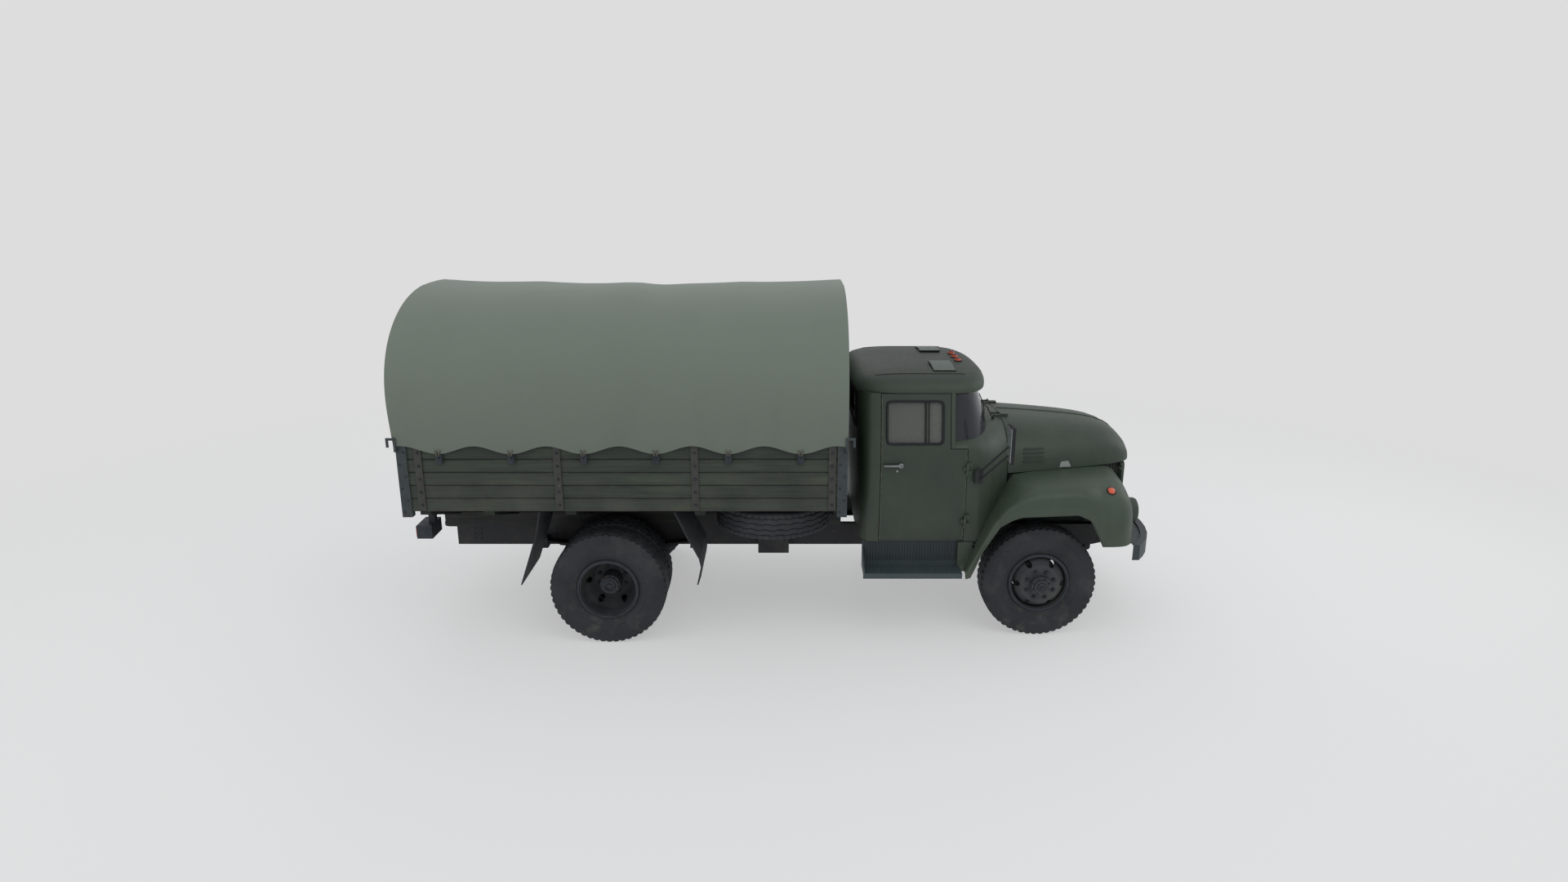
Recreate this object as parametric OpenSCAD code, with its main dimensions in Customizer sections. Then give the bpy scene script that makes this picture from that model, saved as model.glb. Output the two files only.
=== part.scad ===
// Bonneted cargo truck with a canvas tilt. +X forward, +Y left, +Z up.
// The origin lies on the ground under the middle of the truck.

/* [Overall] */
// Front axle forward to the bumper's face
front_overhang = 1075; // [1040:5:1130]
// Distance between the axles
wheelbase = 3800; // [3700:5:3900]
// Rear axle back to the tow coupling's end
rear_overhang = 1800; // [1750:5:1900]

/* [Wheels] */
// Tyre radius
tyre_r = 509; // [480:1:530]
// Tyre width
tyre_w = 259; // [230:1:275]
// Rim seat radius
rim_r = 254; // [230:1:270]
// Rim metal thickness
rim_t = 12; // [8:1:18]
// Rim flange height
flange_h = 17; // [10:1:18]
// Distance between the front tyres' middles
front_track = 1800; // [1760:2:1840]
// Distance between the middles of the rear pairs
rear_track = 1790; // [1760:2:1820]
// Distance between the twin tyres' middles
twin_pitch = 310; // [290:2:330]
// Wheel disc thickness
disc_t = 10; // [6:1:14]
// Hand hole radius
hand_hole_r = 27; // [15:1:32]
// Hand holes in a disc
hand_holes = 6; // [4:1:8]
// Hub radius
hub_r = 88; // [75:1:100]
// Hub flange radius
hub_flange_r = 148; // [130:1:160]
// Front spindle radius
spindle_r = 40; // [30:1:50]
// Rear spindle radius
rear_spindle_r = 50; // [40:1:60]
// Brake drum radius
drum_r = 200; // [180:1:215]

/* [Chassis] */
// Width over the frame rails
frame_w = 865; // [800:5:900]
// Underside of the rails above the ground
rail_z = 648; // [620:2:670]
// Rail height
rail_h = 200; // [170:2:220]
// Rail flange width
rail_flange = 75; // [60:1:90]
// Rail metal thickness
rail_t = 8; // [6:1:12]
// Rear axle back to the rails' rear ends
rail_tail = 1530; // [1480:5:1560]
// Rise of the rail's underside at its front end
rail_front_rise = 94; // [60:2:120]
// Front axle forward to where that rise begins
rail_rise_start = 640; // [560:5:700]
// Cross member depth along the truck
cross_w = 100; // [70:2:140]
// Cross member height
cross_h = 120; // [90:2:140]
// Bumper underside above the ground
bumper_z = 742; // [720:2:770]
// Bumper height
bumper_h = 143; // [120:1:160]
// Bumper metal thickness
bumper_t = 14; // [8:1:20]
// Bumper half width
bumper_half = 1055; // [1000:5:1100]
// Sweep of the bumper's ends
bumper_sweep = 225; // [180:5:260]
// Depth of the bumper's lips
bumper_lip = 62; // [40:2:80]
// Kingpin inboard of the tyre's middle
king_offset = 125; // [110:1:135]
// Kingpin radius
king_r = 24; // [18:1:28]
// Kingpin boss height
boss_h = 120; // [100:2:140]
// Axle beam depth along the truck
beam_w = 86; // [70:2:100]
// Axle tube radius, rear
tube_r = 72; // [60:1:80]
// Differential housing radius
banjo_r = 190; // [170:1:200]
// Spring leaf thickness
leaf_t = 9; // [7:1:11]
// Leaves in a spring
leaves = 9; // [6:1:10]
// Front leaf width
front_leaf_w = 72; // [60:1:75]
// Rear leaf width
rear_leaf_w = 88; // [70:1:90]
// Half length of the front springs
front_spring_half = 600; // [560:5:640]
// Half length of the rear springs
rear_spring_half = 690; // [640:5:720]
// Rise of the spring ends
camber = 44; // [36:1:46]
// Towing pin bore radius
tow_bore_r = 22; // [15:1:26]
// Tow jaw half width
jaw_half = 72; // [60:1:90]
// Tow coupling height above the ground
tow_z = 760; // [740:2:780]

/* [Engine] */
// Engine half width
engine_half = 320; // [280:5:340]
// Engine underside above the ground
engine_z = 610; // [590:5:640]
// Engine height
engine_h = 690; // [600:5:720]
// Gap between the engine and the radiator
fan_gap = 60; // [40:2:90]
// Gearbox half width
gearbox_half = 180; // [150:5:220]
// Gearbox length
gearbox_len = 680; // [640:5:720]
// Driveshaft radius
shaft_r = 40; // [30:1:44]
// Radiator half width
radiator_half = 420; // [400:5:425]
// Radiator thickness
radiator_t = 60; // [50:1:70]

/* [Cab] */
// Front axle back to the cab's rear face
cab_back = 1607; // [1590:1:1620]
// Front axle back to the door's rear seam
door_back = 1429; // [1400:1:1440]
// Front axle back to the door's front edge
door_front = 690; // [670:1:710]
// Front axle back to the windscreen pillar's rear face
pillar_back = 832; // [815:1:850]
// Front axle back to the windscreen's rear edge
screen_back = 799; // [780:1:805]
// Front axle back to the hood's rear edge
hood_back = 262; // [240:1:280]
// Underside of the cab above the ground
cab_z = 888; // [880:1:900]
// Belt line above the ground
belt_z = 1735; // [1715:1:1750]
// Eaves above the ground
eave_z = 2205; // [2180:1:2230]
// Half width at the sill
sill_half = 976; // [960:1:985]
// Half width at the belly of the door
belly_half = 1010; // [990:1:1020]
// Half width at the eaves
eave_half = 900; // [880:1:915]
// Thickness of doors and walls
wall_t = 48; // [40:1:55]
// Rise of the roof's crown over the eaves
roof_rise = 148; // [120:1:170]
// Roof visor ahead of the windscreen's rear edge
visor = 352; // [330:1:370]
// Clearance round doors and lids
door_gap = 6; // [5:0.5:9]
// Floor thickness
floor_t = 30; // [20:1:40]
// Door window underside above the ground
window_z = 1781; // [1770:1:1800]
// Door window height
window_h = 356; // [320:1:370]
// Glass thickness
glass_t = 6; // [4:1:10]
// Door window's rear end behind the front axle
window_back = 1382; // [1365:1:1390]
// Door window's front end behind the front axle
window_front = 900; // [880:1:910]
// Quarter light bar's middle behind the front axle
quarter_back = 1037; // [1000:1:1080]
// Quarter light bar width
quarter_bar = 24; // [16:1:32]
// Rear window half width
rear_glass_half = 450; // [350:5:520]
// Rear window underside above the ground
rear_glass_z = 1800; // [1760:5:1850]
// Rear window height
rear_glass_h = 290; // [240:5:310]

/* [Windscreen] */
// Depth of the windscreen's bow at its base
screen_depth = 395; // [380:1:405]
// Depth of the windscreen's bow at its top
screen_top_depth = 282; // [260:1:300]
// Half width of the windscreen at its base
screen_half = 940; // [925:1:950]
// Half width of the windscreen at its top
screen_top_half = 874; // [860:1:880]

/* [Hood] */
// Bumper's face back to the hood's nose
nose_in = 138; // [125:1:160]
// Hood crown above the ground at its rear edge
hood_z = 1868; // [1850:1:1880]
// Hood seam above the ground at its rear edge
seam_z = 1431; // [1420:1:1440]
// Rise of the seam to the front
seam_rise = 46; // [30:1:60]
// Hood half width at its rear edge
hood_half = 700; // [680:1:715]
// Thickness of the hood
hood_t = 18; // [14:1:24]
// Louvre panel length
louvre_len = 185; // [150:1:220]
// Louvre slot height
louvre_h = 12; // [8:1:14]
// Louvre slots on a side
louvres = 4; // [3:1:5]

/* [Fenders] */
// Front axle back to the fender's tail
fender_tail = 680; // [672:1:686]
// Bumper's face back to the fender's nose
fender_nose_in = 275; // [270:1:290]
// Half width over the fenders
fender_half = 1140; // [1110:1:1160]
// Fender tail's foot above the ground
fender_z = 605; // [590:1:620]
// Fender shoulder above the ground
shoulder_z = 1440; // [1425:1:1450]
// Thickness of the fenders
fender_t = 14; // [10:1:18]
// Outward flare of the arch lip
flare = 20; // [10:1:28]
// Height of the flare
flare_h = 96; // [70:1:110]

/* [Front] */
// Half width of the grille panel
grille_half = 560; // [540:2:575]
// Bow of the grille panel
grille_bow = 106; // [90:2:110]
// Grille panel underside above the ground
grille_z = 905; // [890:1:920]
// Grille panel thickness
grille_t = 26; // [18:1:32]
// Grille slots
grille_slots = 11; // [7:2:15]
// Grille slot width
slot_w = 46; // [30:1:56]
// Headlamp radius
lamp_r = 104; // [90:1:110]
// Headlamp from the middle
lamp_y = 800; // [785:1:815]
// Headlamp above the ground
lamp_z = 1120; // [1105:1:1135]

/* [Steps and mirrors] */
// Step tread above the ground
step_z = 655; // [640:1:670]
// Step tread thickness
step_t = 12; // [8:1:16]
// Half width over the steps
step_half = 1150; // [1120:1:1160]
// Front axle back to the step's front end
step_front = 711; // [700:1:720]
// Front axle back to the step's rear end
step_back = 1573; // [1550:1:1590]
// Depth of the step's outer lip
step_lip = 48; // [30:1:60]
// Front axle back to the mirrors
mirror_back = 382; // [370:1:400]
// Mirror from the middle
mirror_y = 1245; // [1220:1:1260]
// Mirror width
mirror_w = 160; // [130:1:170]
// Mirror height
mirror_h = 315; // [260:1:330]
// Mirror underside above the ground
mirror_z = 1690; // [1660:1:1710]
// Mirror thickness
mirror_t = 26; // [18:1:34]
// Mirror rod radius
rod_r = 8; // [5:0.5:10]

/* [Load bed] */
// Rear axle back to the bed's rear end
bed_back = 1687; // [1660:1:1700]
// Rear axle forward to the bed's front end
bed_front = 2069; // [2050:1:2090]
// Half width over the side boards
board_half = 1225; // [1210:1:1230]
// Thickness of the boards
board_t = 52; // [40:1:60]
// Underside of the boards above the ground
board_z = 1256; // [1250:1:1262]
// Height of the boards
board_h = 571; // [550:1:590]
// Planks in a board
planks = 5; // [4:1:6]
// Width of the grooves between the planks
groove_w = 14; // [8:1:18]
// Depth of the grooves
groove_d = 7; // [4:1:9]
// Floor top above the ground
bed_floor_z = 1280; // [1275:1:1290]
// Floor thickness
bed_floor_t = 40; // [30:1:45]
// Bearer width
bearer_w = 90; // [70:1:100]
// Height of the sills on the rails
sill_h = 120; // [110:1:125]
// Half width of the bearers' deep middle
bearer_mid_half = 480; // [450:5:500]
// Height of the bearers' ends
bearer_end_h = 34; // [25:1:45]
// Corner post length along the truck
post_w = 85; // [70:1:95]
// Thickness of posts and straps over the boards
iron_t = 11; // [8:1:13]
// Hinge strap width
strap_w = 60; // [45:1:70]
// Tilt hooks on a side
hooks = 6; // [5:1:7]
// Distance between the tilt hooks
hook_pitch = 601; // [580:1:620]
// Rear axle back to the last tilt hook
hook_back = 1329; // [1310:1:1350]
// Hook width
hook_w = 56; // [40:1:70]
// Hook height
hook_h = 112; // [90:1:125]

/* [Tilt] */
// Half width over the tilt
tilt_half = 1258; // [1254:1:1266]
// Canvas thickness
tilt_t = 8; // [6:0.5:8]
// Tilt crown above the ground
tilt_z = 3062; // [3000:2:3100]
// Height where the tilt begins to arch in
spring_z = 2050; // [2000:2:2100]
// Sag of the crown between the ends
tilt_sag = 34; // [0:1:50]
// Low points of the hem above the ground
hem_z = 1768; // [1760:1:1775]
// Height of the hem's wave
hem_wave = 68; // [40:1:75]
// Bow tube radius
bow_r = 17; // [12:1:20]

/* [Under the bed] */
// Spare wheel from the middle
spare_y = 712; // [700:1:714]
// Rear axle forward to the spare wheel
spare_x = 1440; // [1432:1:1446]
// Fuel tank length
tank_len = 1000; // [900:5:1020]
// Fuel tank width
tank_w = 400; // [350:5:430]
// Fuel tank height
tank_h = 300; // [250:5:310]
// Fuel tank corner radius
tank_r = 60; // [40:1:80]
// Rear axle forward to the tank's middle
tank_x = 1400; // [1380:5:1420]
// Mud flap thickness
flap_t = 12; // [6:1:16]
// Mud flaps' lower ends above the ground
flap_z = 573; // [540:1:600]

/* [Inside] */
// Seat cushion height
cushion_h = 150; // [120:2:180]
// Seat top above the floor
seat_h = 400; // [360:2:420]
// Seat half width
seat_half = 800; // [760:5:820]
// Steering wheel radius
wheel_r = 220; // [200:2:240]
// Steering wheel rim radius
wheel_rim_r = 14; // [10:1:18]
// Steering wheel from the middle
wheel_y = 440; // [420:2:460]

/* [Hidden] */
$fn = 48;

// Overrun of cuts
lap = 2;
// Running clearance of turning pieces
run_gap = 1;
overall_length = front_overhang + wheelbase + rear_overhang;
rear_axle_x = rear_overhang - overall_length / 2;
front_axle_x = rear_axle_x + wheelbase;
front_x = overall_length / 2;
rear_x = -overall_length / 2;
rail_top = rail_z + rail_h;
rail_y = frame_w / 2;
rail_rear_x = rear_axle_x - rail_tail;
rail_front_x = front_x - bumper_t;
bed_rear_x = rear_axle_x - bed_back;
bed_front_x = rear_axle_x + bed_front;
board_top = board_z + board_h;
board_in = board_half - board_t;
floor_under = bed_floor_z - bed_floor_t;
sill_top = rail_top + sill_h;
cab_rear_x = front_axle_x - cab_back;
door_rear_x = front_axle_x - door_back;
door_front_x = front_axle_x - door_front;
screen_x = front_axle_x - screen_back;
pillar_x = front_axle_x - pillar_back;
hood_rear_x = front_axle_x - hood_back;
nose_x = front_x - nose_in;
tail_x = front_axle_x - fender_tail;
fender_nose_x = front_x - fender_nose_in;
fender_len = fender_nose_x - tail_x;
fender_h = shoulder_z - fender_z;
king_y = front_track / 2 - king_offset;
floor_z = cab_z + 2 * door_gap;
floor_top = floor_z + floor_t;
cowl_x = hood_rear_x - door_gap;
cowl_start_x = door_front_x + door_gap;
grille_x = fender_nose_x + grille_t + 3 * run_gap;
radiator_x = grille_x - 2 * radiator_t;
spare_cx = rear_axle_x + spare_x;
spare_z = sill_top + 6 * run_gap + tyre_w / 2;

// Helpers

function flat(rows) = [for (r = rows) for (p = r) p];
function mix(a, b, s) = a + (b - a) * s;
// Quarter of a rounded curve of given power: sharpness grows with the power
function cpow(a, p) = sign(cos(a)) * pow(abs(cos(a)), 2 / p);
function spow(a, p) = sign(sin(a)) * pow(abs(sin(a)), 2 / p);
function unit(v) = v / max(norm(v), 0.000001);
function grid_normal(g, i, j) =
    let (n = len(g) - 1, m = len(g[0]) - 1,
         a = g[min(i + 1, n)][j] - g[max(i - 1, 0)][j],
         b = g[i][min(j + 1, m)] - g[i][max(j - 1, 0)])
    unit(cross(a, b));
function inset(g, t) = [for (i = [0 : len(g) - 1])
    [for (j = [0 : len(g[0]) - 1]) g[i][j] - t * grid_normal(g, i, j)]];

// A sheet of metal or cloth between an outer and an inner grid of points
module sheet(outer, inner) {
    n = len(outer) - 1;
    m = len(outer[0]) - 1;
    c = m + 1;
    k = (n + 1) * c;
    polyhedron(points = concat(flat(outer), flat(inner)), faces = concat(
        [for (i = [0 : n - 1]) for (j = [0 : m - 1]) [i * c + j, i * c + j + 1, (i + 1) * c + j + 1]],
        [for (i = [0 : n - 1]) for (j = [0 : m - 1]) [i * c + j, (i + 1) * c + j + 1, (i + 1) * c + j]],
        [for (i = [0 : n - 1]) for (j = [0 : m - 1])
            [k + i * c + j, k + (i + 1) * c + j + 1, k + i * c + j + 1]],
        [for (i = [0 : n - 1]) for (j = [0 : m - 1])
            [k + i * c + j, k + (i + 1) * c + j, k + (i + 1) * c + j + 1]],
        [for (j = [0 : m - 1]) [j + 1, j, k + j]],
        [for (j = [0 : m - 1]) [j + 1, k + j, k + j + 1]],
        [for (j = [0 : m - 1]) [n * c + j, n * c + j + 1, k + n * c + j + 1]],
        [for (j = [0 : m - 1]) [n * c + j, k + n * c + j + 1, k + n * c + j]],
        [for (i = [0 : n - 1]) [i * c, (i + 1) * c, k + (i + 1) * c]],
        [for (i = [0 : n - 1]) [i * c, k + (i + 1) * c, k + i * c]],
        [for (i = [0 : n - 1]) [(i + 1) * c + m, i * c + m, k + i * c + m]],
        [for (i = [0 : n - 1]) [(i + 1) * c + m, k + i * c + m, k + (i + 1) * c + m]]));
}

// A dome between rings of points, closed on top, open below
module dome(outer, inner) {
    n = len(outer) - 1;
    c = len(outer[0]);
    k = (n + 1) * c;
    polyhedron(points = concat(flat(outer), flat(inner)), faces = concat(
        [for (i = [0 : n - 1]) for (j = [0 : c - 1])
            [i * c + j, (i + 1) * c + (j + 1) % c, i * c + (j + 1) % c]],
        [for (i = [0 : n - 1]) for (j = [0 : c - 1])
            [i * c + j, (i + 1) * c + j, (i + 1) * c + (j + 1) % c]],
        [for (i = [0 : n - 1]) for (j = [0 : c - 1])
            [k + i * c + j, k + i * c + (j + 1) % c, k + (i + 1) * c + (j + 1) % c]],
        [for (i = [0 : n - 1]) for (j = [0 : c - 1])
            [k + i * c + j, k + (i + 1) * c + (j + 1) % c, k + (i + 1) * c + j]],
        [for (j = [0 : c - 1]) [j, (j + 1) % c, k + (j + 1) % c]],
        [for (j = [0 : c - 1]) [j, k + (j + 1) % c, k + j]],
        [[for (j = [c - 1 : -1 : 0]) n * c + j]],
        [[for (j = [0 : c - 1]) k + n * c + j]]));
}

module bar(x0, x1, y0, y1, z0, z1) translate([x0, y0, z0]) cube([x1 - x0, y1 - y0, z1 - z0]);
module both() {
    children();
    mirror([0, 1, 0]) children();
}
module along_x(x0, x1) translate([x0, 0, 0]) rotate([90, 0, 90]) linear_extrude(x1 - x0) children();
module along_y(y0, y1) translate([0, y1, 0]) rotate([90, 0, 0]) linear_extrude(y1 - y0) children();
module along_z(z0, z1) translate([0, 0, z0]) linear_extrude(z1 - z0) children();
module about_y() rotate([-90, 0, 0]) rotate_extrude() children();
module about_x() rotate([0, 90, 0]) rotate_extrude() children();
module ring(r0, r1, a, b) polygon([[r0, a], [r1, a], [r1, b], [r0, b]]);
module rod(p, q, r) {
    v = q - p;
    translate(p) rotate([0, acos(v[2] / norm(v)), atan2(v[1], v[0])]) cylinder(r = r, h = norm(v));
}
module rounded(w, h, r) {
    square([w - 2 * r, h], center = true);
    square([w, h - 2 * r], center = true);
    for (sx = [-1, 1]) for (sy = [-1, 1]) translate([sx * (w / 2 - r), sy * (h / 2 - r)]) circle(r = r);
}

// Wheels

// Tyre outline: share of the section's height, share of the half width
tyre_shares = [[0, 0.74], [0.08, 0.74], [0.15, 0.82], [0.30, 0.95], [0.46, 1], [0.64, 0.985],
    [0.80, 0.93], [0.92, 0.875], [0.98, 0.82], [1, 0.75]];
// Cavity outline, the same columns
cavity_shares = [[0, 0.56], [0.14, 0.66], [0.32, 0.80], [0.52, 0.85], [0.72, 0.79], [0.84, 0.62],
        [0.88, 0.3]];
tyre_h = tyre_r - rim_r;
bead_y = tyre_shares[0][1] * tyre_w / 2;
module tyre() color("DimGray") about_y() polygon(concat(
    [for (s = tyre_shares) [rim_r + s[0] * tyre_h, s[1] * tyre_w / 2]],
    [for (k = [len(tyre_shares) - 1 : -1 : 0])
        [rim_r + tyre_shares[k][0] * tyre_h, -tyre_shares[k][1] * tyre_w / 2]],
    [for (s = cavity_shares) [rim_r + s[0] * tyre_h, -s[1] * tyre_w / 2]],
    [for (k = [len(cavity_shares) - 1 : -1 : 0])
        [rim_r + cavity_shares[k][0] * tyre_h, cavity_shares[k][1] * tyre_w / 2]]));

// Disc outline: share of the rim radius, share of the disc's offset
disc_shares = [[0.97, 0.20], [0.91, 0.46], [0.82, 0.70], [0.71, 0.91], [0.64, 1], [0.34, 1]];
disc_y = twin_pitch / 2;
hand_share = 0.80;
// Rim and disc with the disc's face towards +Y
module rim() difference() {
    about_y() {
        ring(rim_r - rim_t, rim_r, -bead_y - rim_t, bead_y + rim_t);
        ring(rim_r - rim_t, rim_r + flange_h, bead_y, bead_y + rim_t);
        ring(rim_r - rim_t, rim_r + flange_h, -bead_y - rim_t, -bead_y);
        polygon(concat([for (s = disc_shares) [s[0] * rim_r, s[1] * disc_y]],
            [for (k = [len(disc_shares) - 1 : -1 : 0])
                [disc_shares[k][0] * rim_r, disc_shares[k][1] * disc_y - disc_t]]));
    }
    for (k = [0 : hand_holes - 1]) rotate([0, k * 360 / hand_holes, 0])
        translate([hand_share * rim_r, 0, 0]) rotate([-90, 0, 0]) cylinder(r = hand_hole_r,
                h = disc_y + lap);
}
spindle_len = disc_y + disc_t;
drum_t = rim_t;
// Hub caps as shares of the hub radius
cap_share = 0.7;
rear_cap_share = 0.8;
cap_rise_share = 0.3;
module wheel_front() color("DarkSlateGray") difference() {
    union() {
        rim();
        about_y() {
            ring(0, hub_r, -hub_r / 2, disc_y + hub_r / 2);
            ring(0, cap_share * hub_r, disc_y, disc_y + cap_share * hub_r);
            ring(0, hub_flange_r, disc_y - 3 * disc_t, disc_y - disc_t);
            ring(0, drum_r, drum_r / 4, drum_r / 4 + drum_t);
            ring(drum_r - drum_t, drum_r, -drum_r / 4, drum_r / 4 + drum_t);
        }
    }
    about_y() ring(0, spindle_r + run_gap, -hub_r, spindle_len + run_gap);
}
module wheels_rear() color("DarkSlateGray") difference() {
    union() {
        translate([0, -disc_y, 0]) rim();
        translate([0, disc_y, 0]) mirror([0, 1, 0]) rim();
        about_y() {
            ring(0, hub_r, -disc_y, disc_y);
            ring(0, rear_cap_share * hub_r, disc_y, disc_y + cap_rise_share * hub_r);
            ring(0, hub_flange_r, -3 * disc_t, -disc_t);
            ring(0, drum_r, -drum_r / 4 - drum_t, -drum_r / 4);
            ring(drum_r - drum_t, drum_r, -drum_r, -drum_r / 4);
        }
    }
    about_y() ring(0, rear_spindle_r + run_gap, -drum_r, disc_y - disc_t);
}
module at_wheel(x, y, side) translate([x, side * y, tyre_r]) mirror([0, side < 0 ? 1 : 0, 0]) children();
module wheel_front_left() at_wheel(front_axle_x, front_track / 2, 1) wheel_front();
module wheel_front_right() at_wheel(front_axle_x, front_track / 2, -1) wheel_front();
module tyre_front_left() at_wheel(front_axle_x, front_track / 2, 1) tyre();
module tyre_front_right() at_wheel(front_axle_x, front_track / 2, -1) tyre();
module wheels_rear_left() at_wheel(rear_axle_x, rear_track / 2, 1) wheels_rear();
module wheels_rear_right() at_wheel(rear_axle_x, rear_track / 2, -1) wheels_rear();
module twin_tyres() for (s = [-1, 1]) translate([0, s * disc_y, 0]) tyre();
module tyres_rear_left() at_wheel(rear_axle_x, rear_track / 2, 1) twin_tyres();
module tyres_rear_right() at_wheel(rear_axle_x, rear_track / 2, -1) twin_tyres();

// Axles and steering

arm_t = 34;
backing_t = 8;
web_t = 16;
boss_r = beam_w / 2 + run_gap;
module knuckle() color("Gray") {
    half = boss_h / 2 + run_gap;
    web_y = -king_offset + boss_r + run_gap;
    translate([0, -king_offset, -half - arm_t]) cylinder(r = king_r, h = 2 * half + 2 * arm_t);
    for (s = [-1, 1]) translate([-boss_r, -king_offset - boss_r, s > 0 ? half : -half - arm_t])
        cube([2 * boss_r, 2 * boss_r + web_t, arm_t]);
    translate([-boss_r, web_y, -half - arm_t]) cube([2 * boss_r, web_t, 2 * half + 2 * arm_t]);
    about_y() ring(0, spindle_r, web_y + web_t / 2, spindle_len);
    about_y() ring(0, drum_r - 2 * drum_t, web_y + web_t - backing_t, web_y + web_t);
    translate([-drum_r, -king_offset - boss_r, -half - arm_t]) cube([drum_r, boss_r, arm_t]);
}
module knuckle_left() at_wheel(front_axle_x, front_track / 2, 1) knuckle();
module knuckle_right() at_wheel(front_axle_x, front_track / 2, -1) knuckle();

// Half of the beam's outline: share of the kingpin distance, share of the wheel radius
beam_shares = [[0.62, 0.78], [0.80, 0.90], [0.97, 0.92], [0.97, 1.07], [0.78, 1.06], [0.62, 0.94]];
beam_top = beam_shares[5][1] * tyre_r;
module front_axle() color("DimGray") difference() {
    union() {
        translate([front_axle_x, 0, 0]) along_x(-beam_w / 2, beam_w / 2) polygon(concat(
            [for (s = beam_shares) [s[0] * king_y, s[1] * tyre_r]],
            [for (k = [len(beam_shares) - 1 : -1 : 0]) [-beam_shares[k][0] * king_y,
                    beam_shares[k][1] * tyre_r]]));
        for (s = [-1, 1]) translate([front_axle_x, s * king_y, tyre_r - boss_h / 2])
            cylinder(r = beam_w / 2, h = boss_h);
        for (s = [-1, 1]) translate([front_axle_x, s * (rail_y - rail_flange / 2), beam_top - lap])
            translate([-beam_w / 2, -front_leaf_w / 2, 0]) cube([beam_w, front_leaf_w, front_pad + lap]);
    }
    for (s = [-1, 1]) translate([front_axle_x, s * king_y, tyre_r - boss_h])
        cylinder(r = king_r + run_gap, h = 2 * boss_h);
}
front_pad = 20;
rear_pad = 14;
rear_leaf_y = rail_y + rear_leaf_w / 2 + rim_t;
nose_r = 120;
// Housing outline: share of the track's half, radius as a share of the housing
banjo_shares = [[0, 1], [0.12, 0.96], [0.22, 0.72], [0.34, 0.42]];
module rear_axle() color("DimGray") translate([rear_axle_x, 0, tyre_r]) {
    half = rear_track / 2;
    tip = half + disc_y - 2 * disc_t;
    plate = half - drum_r - drum_t;
    outline = concat([for (s = banjo_shares) [s[1] * banjo_r, s[0] * half]],
        [[tube_r, banjo_shares[3][0] * half + tube_r], [tube_r, plate - 2 * backing_t],
                [drum_r - 2 * drum_t, plate - 2 * backing_t],
         [drum_r - 2 * drum_t, plate], [rear_spindle_r, plate], [rear_spindle_r, tip]]);
    about_y() polygon(concat([[0, -tip]],
            [for (k = [len(outline) - 1 : -1 : 1]) [outline[k][0], -outline[k][1]]],
        outline, [[0, tip]]));
    along_x(0, banjo_r + nose_r) polygon([for (k = [1 : 2 : 15]) nose_r * [cos(k * 22.5), sin(k * 22.5)]]);
    for (s = [-1, 1]) translate([-tube_r / 2, s * rear_leaf_y - rear_leaf_w / 2, 0])
        cube([tube_r, rear_leaf_w, tube_r + rear_pad]);
}

// A leaf spring about x, its underside at z
module leaf_spring(x, y, z, half, w, hang_y0, hang_y1) {
    big_r = (half * half + camber * camber) / (2 * camber) + leaves * leaf_t;
    eye_r = 3 * leaf_t;
    top_r = big_r - leaves * leaf_t + leaf_t / 2;
    eye_z = z + big_r - sqrt(top_r * top_r - half * half);
    along_y(y - w / 2, y + w / 2) {
        for (k = [0 : leaves - 1]) intersection() {
            translate([x, z + big_r]) difference() {
                circle(r = big_r - k * leaf_t);
                circle(r = big_r - (k + 1) * leaf_t);
            }
            translate([x - half * (k + 2) / (leaves + 1), z - lap])
                square([2 * half * (k + 2) / (leaves + 1), 2 * camber + 2 * leaves * leaf_t]);
        }
        for (s = [-1, 1]) translate([x + s * half, eye_z]) circle(r = eye_r);
    }
    for (s = [-1, 1]) bar(x + s * half - eye_r, x + s * half + eye_r, hang_y0, hang_y1, eye_z, rail_z);
}
module springs() color("DimGray") both() {
    leaf_spring(front_axle_x, rail_y - rail_flange / 2, beam_top + front_pad, front_spring_half,
            front_leaf_w,
        rail_y - rail_flange / 2 - front_leaf_w / 2, rail_y - rail_flange / 2 + front_leaf_w / 2);
    leaf_spring(rear_axle_x, rear_leaf_y, tyre_r + tube_r + rear_pad, rear_spring_half, rear_leaf_w,
        rear_leaf_y - rear_leaf_w / 2, rear_leaf_y + rear_leaf_w / 2);
    for (s = [-1, 1]) bar(rear_axle_x + s * rear_spring_half - 3 * leaf_t,
            rear_axle_x + s * rear_spring_half + 3 * leaf_t,
        rail_y, rear_leaf_y + rear_leaf_w / 2, rail_z, rail_z + rail_h / 2);
}

// Frame

// Cross members between the axles: share of the wheelbase from the rear axle
cross_shares = [-0.15, 0.17, 0.405, 0.7];
tail_cross_in = 190;
cross_xs = concat([rail_rear_x + tail_cross_in], [for (s = cross_shares) rear_axle_x + s * wheelbase],
    [radiator_x + radiator_t / 2]);
lug_t = 30;
lug_w = 90;
lug_in = 72;
module rail() difference() {
    rise_x = front_axle_x + rail_rise_start;
    along_y(rail_y - rail_flange, rail_y) polygon([[rail_rear_x, rail_z], [rise_x, rail_z],
        [rail_front_x, rail_z + rail_front_rise], [rail_front_x, rail_top], [rail_rear_x, rail_top]]);
    along_y(rail_y - rail_flange - lap, rail_y - rail_t) polygon([[rail_rear_x - lap, rail_z + rail_t],
        [rise_x, rail_z + rail_t], [rail_front_x + lap, rail_z + rail_front_rise + rail_t],
        [rail_front_x + lap, rail_top - rail_t], [rail_rear_x - lap, rail_top - rail_t]]);
}
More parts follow.
